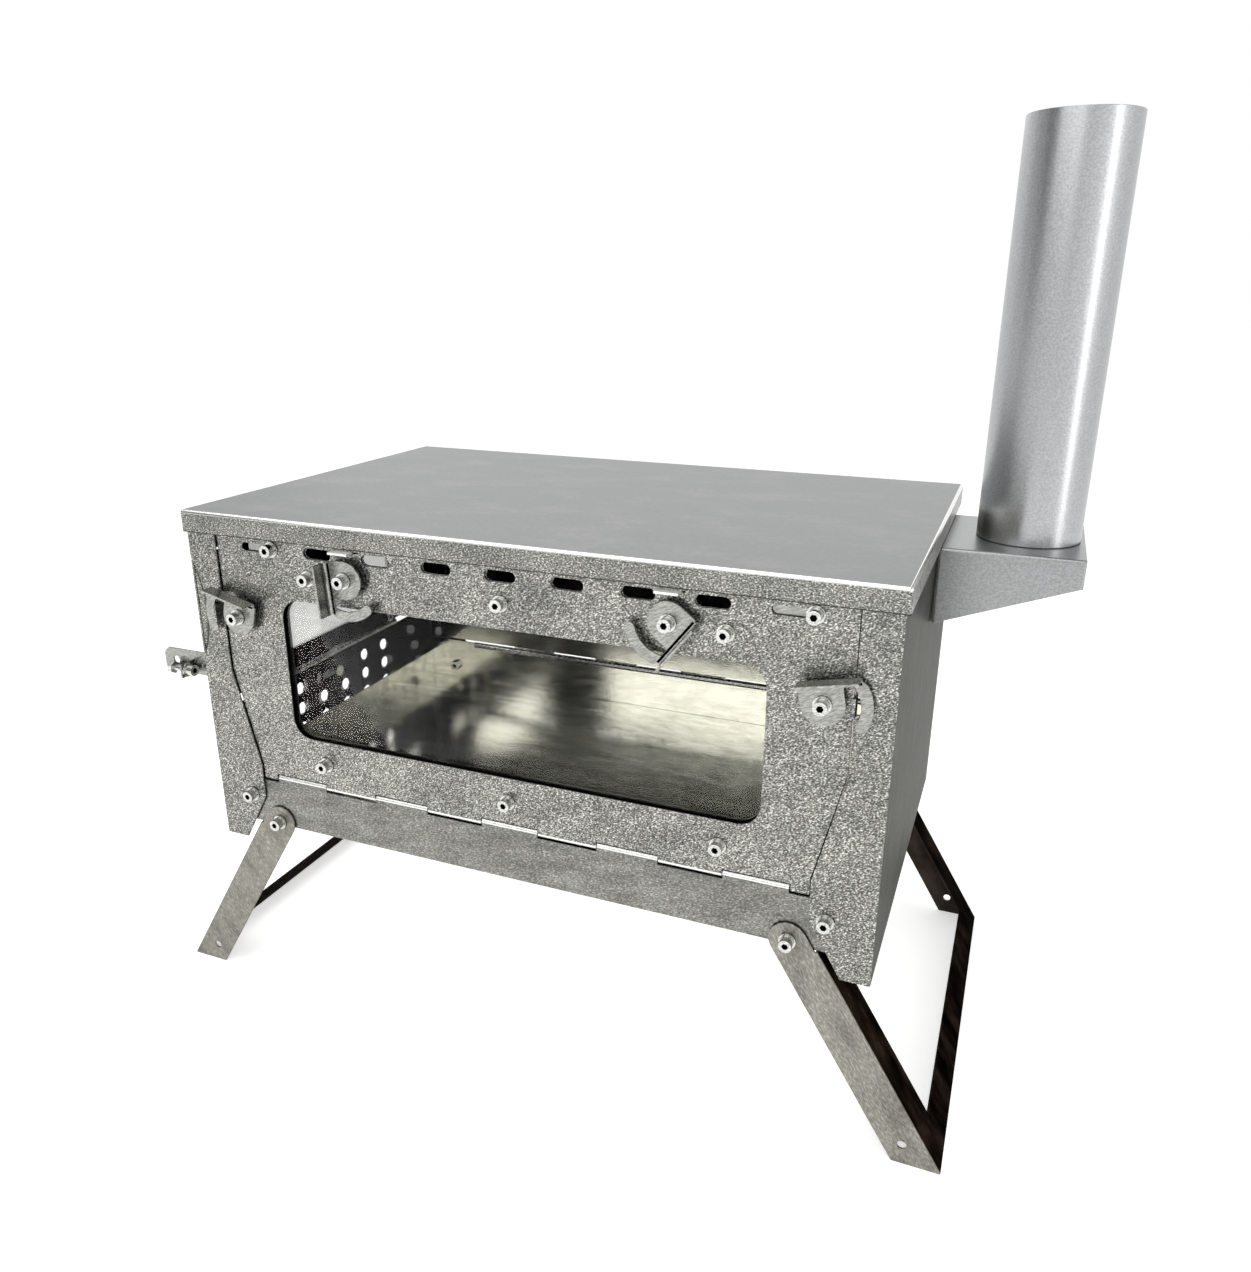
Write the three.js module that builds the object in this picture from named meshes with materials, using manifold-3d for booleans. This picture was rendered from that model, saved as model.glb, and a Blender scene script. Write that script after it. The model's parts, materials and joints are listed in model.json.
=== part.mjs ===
// Folding tent wood stove: a sheet-steel firebox on two folding leg frames, with a glazed front
// panel on a piano hinge, an air slider, turn latches, a glazed side loading door over a sliding
// damper, a lift-off cooking lid and a plug-on flue elbow with one length of chimney pipe.
// Millimetres, +Z up, ground at Z = 0, the glazed front panel faces -Y, the flue is on +X.

import * as THREE from 'three';
import { mergeVertices } from 'three/addons/utils/BufferGeometryUtils.js';
import Module from 'manifold-3d';

const wasm = await Module();
wasm.setup();

// ---------------------------------------------------------------- driving dimensions (mm)

// Sheet metal and the gaps between pieces
const SHEET = 1.2; // every folded sheet
const GAP = 0.3; // between two faces that rest on each other
const DOOR_GAP = 1.6; // round the edge of a panel that swings in its frame
const PANEL_SIDE_GAP = 0.5; // front panel to the flanges beside it

// Firebox
const BODY_WIDTH = 396; // outside the side walls
const BODY_DEPTH = 240; // outside the flanges of the side walls
const TOP_HEIGHT = 306; // cooking surface above the ground
const WALL_BOTTOM_Z = 101.5;
const FLANGE_WIDTH = 18.8; // front and rear flanges of a side wall
const FLANGE_FOOT_INSET = 32.5; // the flange widens to this round its screw
const FLANGE_TOE_WIDTH = 15; // and is this wide at its bottom edge
const FLANGE_TAPER_START = 8; // taper of the flange, above the front hinge
const FLANGE_TAPER_HEIGHT = 59;
const FLANGE_TOE_DROP = 1; // full width ends this far below the flange's screw
const FLANGE_NOTCH_LENGTH = 60; // finger notch in the bend of the left front flange, by its latch
const FLANGE_NOTCH_DEPTH = 7.5;

// Base pan
const BASE_BOTTOM_Z = 114.3;
const FLOOR_RISE = 8.5; // top of the firebox floor above the bottom edge of the pan
const FRONT_HINGE_Z = 146;
const BACK_HINGE_RISE = 7; // back hinge above the front one

// Piano hinges, rolled from the edges of the sheets
const KNUCKLE_RADIUS = 2.2;
const PIN_RADIUS = 0.9;
const PIN_CLEARANCE = 0.25;
const KNUCKLE_GAP = 0.4; // between neighbouring knuckles
const LEAF_SETBACK = 2.8; // sheet edge to hinge axis where the other leaf has its knuckle
const LONG_HINGE_INSET = 10; // end of a long hinge from the foot corner of the front panel
const LONG_HINGE_KNUCKLES = 9;

// Lid
const LID_OVERHANG = 11.1; // rear rim of the lid behind the rear flanges
const LID_SIDE_GAP = 0.8; // rim to side wall
const LID_FRONT_GAP = 0.7; // rim to front flange
const RIM_HEIGHT = 12.5;
const LID_TAB_WIDTH = 12; // keeper tab for a top latch
const LID_TAB_REACH = 5.5; // in front of the rim
const LID_TAB_DROP = 1.9; // underside of the tab below the rim

// Front panel, window and its frame
const PANEL_TOP_CLEARANCE = 0.6; // below the rim of the lid
const WINDOW_SIDE_MARGIN = 40.2; // panel beside the window
const WINDOW_TOP_MARGIN = 32.9; // panel above the window
const WINDOW_BOTTOM_MARGIN = 30; // front hinge to the window
const WINDOW_CORNER_RADIUS = 12;
const GLASS_THICKNESS = 3;
const GLASS_OVERLAP = 6; // glass beyond the window opening
const FRAME_OVERLAP = 18; // retaining frame beyond the window opening
const WINDOW_SCREW_SPACING = 27; // outer screws beyond the top latches
const WINDOW_SCREW_OFFSET = 14; // screws beyond the top and bottom of the opening

// Air slider
const AIR_SLOT_PITCH = 37; // as many slots as fit between the guide slots
const AIR_SLOT_LENGTH = 17.5;
const AIR_SLOT_HEIGHT = 6;
const AIR_SLOT_DROP = 4.9; // centre line below the top of the panel
const SLIDER_TRAVEL = 18;
const SLIDER_END_MARGIN = 11.7; // slider to the edge of the panel, at the middle of its travel
const SLIDER_HEIGHT = 10.6;
const GUIDE_SLOT_INSET = 28.7; // from the edge of the panel

// Turn latches
const LATCH_PLATE_RADIUS = 10.5;
const LATCH_HANDLE_OFFSET = 12.1; // pivot to the outside of the handle
const LATCH_HANDLE_START = 9.5; // handle beyond the pivot, on the side away from the arm
const LATCH_HANDLE_REACH = 9; // handle in front of the plate
const LATCH_ARM_INNER = 17.2;
const LATCH_ARM_OUTER = 22.8;
const LATCH_ARM_TIP_ANGLE = -38; // degrees, the handle being at 90
const LATCH_SLIT_TOP = 8;
const LATCH_STANDOFF = 0.5; // behind the plate, in front of the rim
const TOP_LATCH_SHIFT = 1.5; // pivot inwards from midway between the last two air slots
const TOP_LATCH_DROP = 15.9; // pivot below the top of the panel
const SIDE_LATCH_INSET = 13.7; // pivot from the flange
const SIDE_LATCH_DROP = 12.4; // pivot below the top of the window
const KEEPER_REACH = 6; // keeper in front of the flange
const KEEPER_BOTTOM = -4; // keeper from the height of the latch pivot
const KEEPER_TOP = 6;

// Screws: cap screw on a washer, with a nut
const SCREW_RADIUS = 1.95;
const SCREW_HOLE_RADIUS = 2.3;
const HEAD_RADIUS = 3.5;
const HEAD_HEIGHT = 5; // with its lock washer
const WASHER_RADIUS = 4.4;
const WASHER_HEIGHT = 0.8;
const NUT_RADIUS = 3.9;
const NUT_HEIGHT = 3.2;
const SLEEVE_RADIUS = 3.4;

// Side wall screws and legs
const WALL_SCREW_INSET = 24; // from the outside of the wall
const WALL_SCREW_DROP = 13; // below the front hinge
const LEG_PIVOT_INSET = 42;
const LEG_PIVOT_RISE = 3; // above the bottom edge of the base pan
const LEG_SPLAY = 31.7; // degrees from upright
const LEG_HALF_WIDTH = 10;
const LEG_WEB_WIDTH = 22; // web beside a leg, along Y
const LEG_FOOT_BAR = 19; // height of the bar between the feet, along the leg
const LEG_HOLE_RADIUS = 2.5;
const LEG_HOLE_Z = 11.6;

// Side door with its pull and latch, and the damper below it
const DOOR_FRONT_MARGIN = 13; // wall in front of the door
const DOOR_REAR_MARGIN = 31; // wall behind the door
const DOOR_HINGE_Z = 183;
const DOOR_TOP_MARGIN = 26.5; // wall above the door
const DOOR_WINDOW_SIDE_MARGIN = 25;
const DOOR_WINDOW_TOP_MARGIN = 30;
const DOOR_WINDOW_BOTTOM_MARGIN = 16; // door hinge to the window
const DOOR_GLASS_OVERLAP = 3.5;
const DOOR_FRAME_OVERLAP = 12;
const DOOR_SCREW_INSET = 11; // screws from the ends of the window
const DOOR_SCREW_OFFSET = 7.5; // and beyond its top and bottom
const DOOR_HINGE_INSET = 21; // hinge from the edges of the door
const DOOR_HINGE_KNUCKLES = 7;
const DOOR_LATCH_DROP = 12.5; // pivot below the top of the door
const PULL_RISE = 23.5; // middle of the pull above the door hinge
const PULL_REACH = 45; // from the wall
const PULL_WIDTH = 15;
const PULL_FOOT = 15; // foot on the door
const PULL_CHAMFER = 3.5;
const PULL_HOLE_INSET = 9;
const PULL_EAR_X = 25; // ear for the knob screw, from the wall
const PULL_EAR_REACH = 9;
const KNOB_SCREW_TAIL = 8; // thread that takes a knob, beyond the nut
const DAMPER_OFFSET = 2; // middle of the holes behind the middle of the door
const DAMPER_COLUMNS = 6;
const DAMPER_ROWS = 3;
const DAMPER_COLUMN_PITCH = 24;
const DAMPER_ROW_PITCH = 14.2;
const DAMPER_DROP = 14.5; // top row below the door hinge
const DAMPER_SHEET = 0.8;
const DAMPER_HOLE_RADIUS = 4.6;
const DAMPER_MARGIN = 9; // plate beyond the outer holes
const DAMPER_TRAVEL = 12;
const DAMPER_REST_SHIFT = 2.5; // the damper stands this far from fully open
const KNOB_RADIUS = 7;
const KNOB_HEIGHT = 8;

// Flue
const ELBOW_REAR_INSET = 23; // elbow from the rear flange
const ELBOW_WIDTH = 90;
const ELBOW_LENGTH = 73.7;
const ELBOW_MOUTH_HEIGHT = 43;
const ELBOW_END_HEIGHT = 15;
const ELBOW_RIM_CLEARANCE = 0.6; // below the rim of the lid
const SPIGOT_REACH = 14;
const SPIGOT_LIP = 6; // welded flange inside the wall
const PIPE_RADIUS = 27.5;
const PIPE_WALL = 0.8;
const PIPE_LENGTH = 213;
const PIPE_END_MARGIN = 2.5; // pipe to the outer end of the elbow
const COLLAR_HEIGHT = 12;
const COLLAR_LIP = 2; // inside the elbow, holds the collar in its hole

// Facets
const SCREW_FACETS = 8;
const HOLE_FACETS = 10;
const PIPE_FACETS = 24;

// ---------------------------------------------------------------- levels worked out from these

const FRONT = -BODY_DEPTH / 2;
const SKIN = SHEET + GAP; // base flange and swinging panels lie this far inside the flanges
const SKIN_FRONT = FRONT + SKIN;
const SKIN_BACK = SKIN_FRONT + SHEET;
const WALL_OUT = BODY_WIDTH / 2;
const WALL_IN = WALL_OUT - SHEET;
const WALL_TOP_Z = TOP_HEIGHT - SHEET - GAP;
const RIM_BOTTOM_Z = TOP_HEIGHT - RIM_HEIGHT;
const RIM_FRONT = FRONT - LID_FRONT_GAP - SHEET;
const FLANGE_IN = WALL_OUT - FLANGE_WIDTH;
const FLOOR_Z = BASE_BOTTOM_Z + FLOOR_RISE;
const BACK_HINGE_Z = FRONT_HINGE_Z + BACK_HINGE_RISE;
const WALL_SCREW_X = WALL_OUT - WALL_SCREW_INSET;
const WALL_SCREW_Z = FRONT_HINGE_Z - WALL_SCREW_DROP;
const FLANGE_TAPER_BOTTOM_Z = FRONT_HINGE_Z + FLANGE_TAPER_START;
const FLANGE_TAPER_TOP_Z = FLANGE_TAPER_BOTTOM_Z + FLANGE_TAPER_HEIGHT;
const LEG_PIVOT_X = WALL_OUT - LEG_PIVOT_INSET;
const LEG_PIVOT_Z = BASE_BOTTOM_Z + LEG_PIVOT_RISE;
const SPLAY = THREE.MathUtils.degToRad(LEG_SPLAY);

const PANEL_TOP_Z = RIM_BOTTOM_Z - PANEL_TOP_CLEARANCE;
const PANEL_WIDE = FLANGE_IN - PANEL_SIDE_GAP; // half widths of the front panel
const PANEL_NARROW = WALL_OUT - FLANGE_FOOT_INSET - PANEL_SIDE_GAP;
const HINGE_END_X = PANEL_NARROW - LONG_HINGE_INSET;
const LONG_HINGE_LENGTH = 2 * HINGE_END_X;
const WINDOW_WIDTH = 2 * (PANEL_WIDE - WINDOW_SIDE_MARGIN);
const WINDOW_TOP_Z = PANEL_TOP_Z - WINDOW_TOP_MARGIN;
const WINDOW_BOTTOM_Z = FRONT_HINGE_Z + WINDOW_BOTTOM_MARGIN;
const AIR_SLOT_Z = PANEL_TOP_Z - AIR_SLOT_DROP;
const GUIDE_SLOT_X = PANEL_WIDE - GUIDE_SLOT_INSET;
const GUIDE_SLOT_LENGTH = SLIDER_TRAVEL + 2 * SCREW_HOLE_RADIUS;
const SLIDER_HALF_LENGTH = PANEL_WIDE - SLIDER_END_MARGIN;
// An odd row of air slots about the middle fills the room between the guide slots.
const AIR_SLOT_ROOM = GUIDE_SLOT_X - GUIDE_SLOT_LENGTH / 2 - AIR_SLOT_LENGTH / 2 - DOOR_GAP;
const SLOTS_BESIDE = Math.floor(AIR_SLOT_ROOM / AIR_SLOT_PITCH);
const TOP_LATCH_X = (SLOTS_BESIDE - 0.5) * AIR_SLOT_PITCH - TOP_LATCH_SHIFT;
const WINDOW_SCREW_X = TOP_LATCH_X + WINDOW_SCREW_SPACING;
const TOP_LATCH_Z = PANEL_TOP_Z - TOP_LATCH_DROP;
const SIDE_LATCH_X = FLANGE_IN - SIDE_LATCH_INSET;
const SIDE_LATCH_Z = WINDOW_TOP_Z - SIDE_LATCH_DROP;
const LATCH_BACK = RIM_FRONT - LATCH_STANDOFF;
const LATCH_FACE = LATCH_BACK - SHEET;

const DOOR_WIDTH = BODY_DEPTH - DOOR_FRONT_MARGIN - DOOR_REAR_MARGIN;
const DOOR_CENTRE_Y = (DOOR_FRONT_MARGIN - DOOR_REAR_MARGIN) / 2;
const DOOR_TOP_Z = WALL_TOP_Z - DOOR_TOP_MARGIN;
const DOOR_WINDOW_WIDTH = DOOR_WIDTH - 2 * DOOR_WINDOW_SIDE_MARGIN;
const DOOR_WINDOW_TOP_Z = DOOR_TOP_Z - DOOR_WINDOW_TOP_MARGIN;
const DOOR_WINDOW_BOTTOM_Z = DOOR_HINGE_Z + DOOR_WINDOW_BOTTOM_MARGIN;
const DOOR_SCREW_Y = DOOR_WINDOW_WIDTH / 2 - DOOR_SCREW_INSET;
const DOOR_HINGE_LENGTH = DOOR_WIDTH - 2 * DOOR_HINGE_INSET;
const DOOR_LATCH_Z = DOOR_TOP_Z - DOOR_LATCH_DROP;
const PULL_Y = DOOR_CENTRE_Y - DOOR_WIDTH / 2; // front edge of the door
const PULL_Z = DOOR_HINGE_Z + PULL_RISE;
const PULL_SCREW_Y = PULL_Y + PULL_FOOT - WASHER_RADIUS - SHEET;
const DAMPER_CENTRE_Y = DOOR_CENTRE_Y + DAMPER_OFFSET;
const DAMPER_TOP_ROW_Z = DOOR_HINGE_Z - DAMPER_DROP;
const ELBOW_CENTRE_Y = -FRONT - ELBOW_REAR_INSET - ELBOW_WIDTH / 2;

// ---------------------------------------------------------------- geometry helpers

/** A closed manifold solid from a three.js geometry. */
function toManifold(geometry) {
  const bare = geometry.clone();
  bare.deleteAttribute('normal');
  bare.deleteAttribute('uv');
  const merged = mergeVertices(bare, 1e-4);
  return new wasm.Manifold(new wasm.Mesh({
    numProp: 3,
    vertProperties: new Float32Array(merged.attributes.position.array),
    triVerts: new Uint32Array(merged.index.array),
  }));
}

function fromManifold(solid) {
  const mesh = solid.getMesh();
  const geometry = new THREE.BufferGeometry();
  geometry.setAttribute('position', new THREE.BufferAttribute(mesh.vertProperties, 3));
  geometry.setIndex(new THREE.BufferAttribute(mesh.triVerts, 1));
  return geometry;
}

function join(...geometries) {
  return fromManifold(geometries.map(toManifold).reduce((sum, next) => sum.add(next)));
}

function cut(geometry, ...tools) {
  return fromManifold(
    tools.map(toManifold).reduce((rest, tool) => rest.subtract(tool), toManifold(geometry)));
}

/** The mirror image across X = 0, with its faces turned outwards again. */
function mirrored(geometry) {
  const copy = geometry.clone().scale(-1, 1, 1);
  const flipped = copy.index ? copy.toNonIndexed() : copy;
  const position = flipped.attributes.position;
  for (let corner = 0; corner < position.count; corner += 3) {
    const first = new THREE.Vector3().fromBufferAttribute(position, corner);
    const second = new THREE.Vector3().fromBufferAttribute(position, corner + 1);
    position.setXYZ(corner, second.x, second.y, second.z);
    position.setXYZ(corner + 1, first.x, first.y, first.z);
  }
  return flipped;
}

function box(x0, x1, y0, y1, z0, z1) {
  return new THREE.BoxGeometry(x1 - x0, y1 - y0, z1 - z0)
    .translate((x0 + x1) / 2, (y0 + y1) / 2, (z0 + z1) / 2);
}

/** Points on an arc, angles in degrees. */
function arc(cx, cy, radius, from, to, steps) {
  return Array.from({ length: steps + 1 }, (_, step) => {
    const angle = THREE.MathUtils.degToRad(from + (to - from) * step / steps);
    return new THREE.Vector2(cx + radius * Math.cos(angle), cy + radius * Math.sin(angle));
  });
}

function circle(cx, cy, radius, facets = HOLE_FACETS) {
  return arc(cx, cy, radius, 0, 360, facets).slice(0, -1);
}

function obround(cx, cy, length, height) {
  const end = (length - height) / 2;
  return [
    ...arc(cx + end, cy, height / 2, -90, 90, 4),
    ...arc(cx - end, cy, height / 2, 90, 270, 4),
  ];
}

function rectangle(x0, y0, x1, y1, radius = 0) {
  if (radius === 0) {
    return [[x0, y0], [x1, y0], [x1, y1], [x0, y1]].map(([x, y]) => new THREE.Vector2(x, y));
  }
  return [
    ...arc(x1 - radius, y0 + radius, radius, -90, 0, 4),
    ...arc(x1 - radius, y1 - radius, radius, 0, 90, 4),
    ...arc(x0 + radius, y1 - radius, radius, 90, 180, 4),
    ...arc(x0 + radius, y0 + radius, radius, 180, 270, 4),
  ];
}

function polygon(...corners) {
  return corners.map(([x, y]) => new THREE.Vector2(x, y));
}

/** A flat plate: an outline with holes, lying in XY and rising from z0. */
function plateXY(outline, holes, z0, thickness = SHEET) {
  const shape = new THREE.Shape(outline);
  shape.holes = holes.map((points) => new THREE.Path(points));
  return new THREE.ExtrudeGeometry(shape, { depth: thickness, bevelEnabled: false }).translate(0, 0, z0);
}

/** The same plate standing in XZ, from y0 backwards. */
function plateXZ(outline, holes, y0, thickness = SHEET) {
  return plateXY(outline, holes, 0, thickness).rotateX(Math.PI / 2).translate(0, y0 + thickness, 0);
}

/** The same plate standing in YZ, from x0 towards +X. */
function plateYZ(outline, holes, x0, thickness = SHEET) {
  const turn = new THREE.Matrix4().makeBasis(
    new THREE.Vector3(0, 1, 0), new THREE.Vector3(0, 0, 1), new THREE.Vector3(1, 0, 0));
  return plateXY(outline, holes, 0, thickness).applyMatrix4(turn).translate(x0, 0, 0);
}

/** A turned piece round Z from (radius, z) pairs that start and end on the axis. */
function turned(profile, facets = SCREW_FACETS) {
  const points = profile.map(([radius, z]) => new THREE.Vector2(radius, z));
  return new THREE.LatheGeometry(points, facets).rotateX(Math.PI / 2);
}

// ---------------------------------------------------------------- scene graph

const stove = new THREE.Group();
stove.name = 'tent_wood_stove';

const FINISHES = {
  rolled: { color: 0x9a9c9a, roughness: 0.42, metalness: 1 },
  satin: { color: 0xa8aaab, roughness: 0.35, metalness: 1 },
  dark: { color: 0x6d6a66, roughness: 0.5, metalness: 1 },
  bright: { color: 0xd5d6d4, roughness: 0.22, metalness: 1 },
  glass: { color: 0xe8efec, roughness: 0.05, metalness: 0, transparent: true, opacity: 0.25 },
};

function addPiece(name, geometry, finish) {
  geometry.computeVertexNormals();
  const mesh = new THREE.Mesh(geometry, new THREE.MeshStandardMaterial(FINISHES[finish]));
  mesh.name = name;
  stove.add(mesh);
  return mesh;
}

// ---------------------------------------------------------------- fasteners and hinges

/**
 * A cap screw with its washer and nut as one turned piece. Z = 0 is the face under the washer and
 * the head is on +Z; grip is the depth of the stack below that face. A sleeve spaces the stack
 * apart between two depths, and a tail of thread can stand out past the nut.
 */
function screw(grip, sleeve = null, tail = 0) {
  const washerTop = GAP + WASHER_HEIGHT;
  const headTop = washerTop + HEAD_HEIGHT;
  const nutTop = -grip - GAP;
  const nutBottom = nutTop - NUT_HEIGHT;
  const tailProfile = tail > 0
    ? [[0, nutBottom - tail], [SCREW_RADIUS, nutBottom - tail], [SCREW_RADIUS, nutBottom]]
    : [[0, nutBottom]];
  const sleeveProfile = sleeve
    ? [[SCREW_RADIUS, -sleeve.to], [SLEEVE_RADIUS, -sleeve.to],
      [SLEEVE_RADIUS, -sleeve.from], [SCREW_RADIUS, -sleeve.from]]
    : [];
  return turned([
    ...tailProfile, [NUT_RADIUS, nutBottom], [NUT_RADIUS, nutTop], [SCREW_RADIUS, nutTop],
    ...sleeveProfile,
    [SCREW_RADIUS, GAP], [WASHER_RADIUS, GAP], [WASHER_RADIUS, washerTop],
    [HEAD_RADIUS, washerTop], [HEAD_RADIUS, headTop], [0, headTop],
  ]);
}

/** Turns that bring a screw's head from +Z to face a side of the stove. */
const FACING = {
  front: new THREE.Euler(Math.PI / 2, 0, 0),
  back: new THREE.Euler(-Math.PI / 2, 0, 0),
  left: new THREE.Euler(0, -Math.PI / 2, 0),
  right: new THREE.Euler(0, Math.PI / 2, 0),
};

function addScrew(name, geometry, facing, x, y, z) {
  const mesh = addPiece(name, geometry.clone(), 'bright');
  mesh.rotation.copy(FACING[facing]);
  mesh.position.set(x, y, z);
}

/**
 * One leaf of a piano hinge: its knuckles and the tabs that carry them, with the axis along X at
 * the origin and the outside of the sheet at y = -KNUCKLE_RADIUS. The rising leaf has the odd
 * knuckles and goes up, the standing leaf has the even ones and goes down.
 */
function hingeLeaf(length, knuckles, rising) {
  const pitch = length / knuckles;
  const direction = rising ? 1 : -1;
  const root = direction * (LEAF_SETBACK + SHEET);
  const bore = circle(0, 0, PIN_RADIUS + PIN_CLEARANCE, SCREW_FACETS);
  const pieces = [];
  for (let index = rising ? 1 : 0; index < knuckles; index += 2) {
    const x0 = -length / 2 + index * pitch + KNUCKLE_GAP / 2;
    const x1 = x0 + pitch - KNUCKLE_GAP;
    const face = -KNUCKLE_RADIUS;
    const tab = box(x0, x1, face, face + SHEET, Math.min(0, root), Math.max(0, root));
    const knuckle = plateYZ(circle(0, 0, KNUCKLE_RADIUS, HOLE_FACETS), [], x0, x1 - x0);
    pieces.push(cut(join(tab, knuckle), plateYZ(bore, [], x0 - SHEET, x1 - x0 + 2 * SHEET)));
  }
  return pieces;
}

function hingePin(length) {
  return plateYZ(circle(0, 0, PIN_RADIUS, SCREW_FACETS), [], -length / 2, length);
}

// ---------------------------------------------------------------- base pan

const PAN_HALF_WIDTH = WALL_IN - GAP;
const PAN_HALF_DEPTH = -SKIN_FRONT;

function basePan() {
  const halfWidth = PAN_HALF_WIDTH;
  const halfDepth = PAN_HALF_DEPTH;
  const bottom = BASE_BOTTOM_Z;
  const frontTop = FRONT_HINGE_Z - LEAF_SETBACK;
  const backTop = BACK_HINGE_Z - LEAF_SETBACK;
  const screwHoles = [-1, 1].flatMap((side) => [
    circle(side * WALL_SCREW_X, WALL_SCREW_Z, SCREW_HOLE_RADIUS),
    circle(side * LEG_PIVOT_X, LEG_PIVOT_Z, SCREW_HOLE_RADIUS),
  ]);
  const front = plateXZ(rectangle(-halfWidth, bottom, halfWidth, frontTop), screwHoles, -halfDepth);
  const back = plateXZ(rectangle(-halfWidth, bottom, halfWidth, backTop), screwHoles, halfDepth - SHEET);
  // Beside its hinge the back rises, so that little of the firebox is open under the back panel.
  const backEar = box(HINGE_END_X + KNUCKLE_GAP, halfWidth, halfDepth - SHEET, halfDepth,
    backTop - SHEET, BACK_HINGE_Z + LEAF_SETBACK - DOOR_GAP);
  const left = box(-halfWidth, -halfWidth + SHEET, -halfDepth, halfDepth, bottom, frontTop);
  const floor = box(-halfWidth, halfWidth, -halfDepth, halfDepth, FLOOR_Z - SHEET, FLOOR_Z);
  const frontLeaf = hingeLeaf(LONG_HINGE_LENGTH, LONG_HINGE_KNUCKLES, false)
    .map((leaf) => leaf.translate(0, SKIN_FRONT + KNUCKLE_RADIUS, FRONT_HINGE_Z));
  const backLeaf = hingeLeaf(LONG_HINGE_LENGTH, LONG_HINGE_KNUCKLES, false)
    .map((leaf) => leaf.rotateZ(Math.PI).translate(0, -SKIN_FRONT - KNUCKLE_RADIUS, BACK_HINGE_Z));
  return join(
    front, back, backEar, mirrored(backEar), left, mirrored(left), floor, ...frontLeaf, ...backLeaf);
}

addPiece('base_pan', basePan(), 'rolled');
addPiece('front_hinge_pin', hingePin(LONG_HINGE_LENGTH), 'dark')
  .position.set(0, SKIN_FRONT + KNUCKLE_RADIUS, FRONT_HINGE_Z);
addPiece('back_hinge_pin', hingePin(LONG_HINGE_LENGTH), 'dark')
  .position.set(0, -SKIN_FRONT - KNUCKLE_RADIUS, BACK_HINGE_Z);

// ---------------------------------------------------------------- side walls

/** The flange of the right wall as an outline in XZ: tapered, then cut back below its screw. */
function flangeOutline() {
  return polygon(
    [WALL_OUT, WALL_BOTTOM_Z], [WALL_OUT, WALL_TOP_Z], [FLANGE_IN, WALL_TOP_Z],
    [FLANGE_IN, FLANGE_TAPER_TOP_Z],
    [WALL_OUT - FLANGE_FOOT_INSET, FLANGE_TAPER_BOTTOM_Z],
    [WALL_OUT - FLANGE_FOOT_INSET, WALL_SCREW_Z - FLANGE_TOE_DROP],
    [WALL_OUT - FLANGE_TOE_WIDTH, WALL_BOTTOM_Z],
  );
}

/** Front and rear flanges of the right wall, with the keeper bent out of the front one. */
function wallFlanges() {
  const screwHole = circle(WALL_SCREW_X, WALL_SCREW_Z, SCREW_HOLE_RADIUS);
  const keeperOut = FLANGE_IN + SHEET;
  const keeperBottom = SIDE_LATCH_Z + KEEPER_BOTTOM;
  const keeperTop = SIDE_LATCH_Z + KEEPER_TOP;
  const window = rectangle(keeperOut, keeperBottom, keeperOut + KEEPER_REACH, keeperTop);
  const front = plateXZ(flangeOutline(), [screwHole, window], FRONT);
  const back = plateXZ(flangeOutline(), [screwHole], -FRONT - SHEET);
  const keeper = box(FLANGE_IN, keeperOut, FRONT - KEEPER_REACH, FRONT + SHEET, keeperBottom, keeperTop);
  return [front, back, keeper];
}

function wallOutline() {
  return rectangle(FRONT, WALL_BOTTOM_Z, -FRONT, WALL_TOP_Z);
}

// The elbow and its spigot share these levels.
const ELBOW_TOP_Z = RIM_BOTTOM_Z - ELBOW_RIM_CLEARANCE;
const SPIGOT_FIT = SHEET + GAP;
const ELBOW_SLOPE = (ELBOW_MOUTH_HEIGHT - ELBOW_END_HEIGHT) / ELBOW_LENGTH;
const SPIGOT = {
  y0: ELBOW_CENTRE_Y - ELBOW_WIDTH / 2 + SPIGOT_FIT,
  y1: ELBOW_CENTRE_Y + ELBOW_WIDTH / 2 - SPIGOT_FIT,
  z0: ELBOW_TOP_Z - ELBOW_MOUTH_HEIGHT + ELBOW_SLOPE * SPIGOT_REACH + SPIGOT_FIT + GAP,
  z1: ELBOW_TOP_Z - SPIGOT_FIT,
};

function rightWall() {
  const flueHole = rectangle(SPIGOT.y0 - GAP, SPIGOT.z0 - GAP, SPIGOT.y1 + GAP, SPIGOT.z1 + GAP);
  return join(plateYZ(wallOutline(), [flueHole], WALL_IN), ...wallFlanges());
}

/** Places of the damper holes: the middle of the top row stays whole for the knob. */
function damperHoles(shift) {
  const holes = [];
  for (let row = 0; row < DAMPER_ROWS; row += 1) {
    for (let column = 0; column < DAMPER_COLUMNS; column += 1) {
      const offset = column - (DAMPER_COLUMNS - 1) / 2;
      const y = DAMPER_CENTRE_Y + shift + offset * DAMPER_COLUMN_PITCH;
      const z = DAMPER_TOP_ROW_Z - row * DAMPER_ROW_PITCH;
      if (row > 0 || Math.abs(offset) > 1) holes.push(circle(y, z, DAMPER_HOLE_RADIUS, SCREW_FACETS));
    }
  }
  return holes;
}

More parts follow.
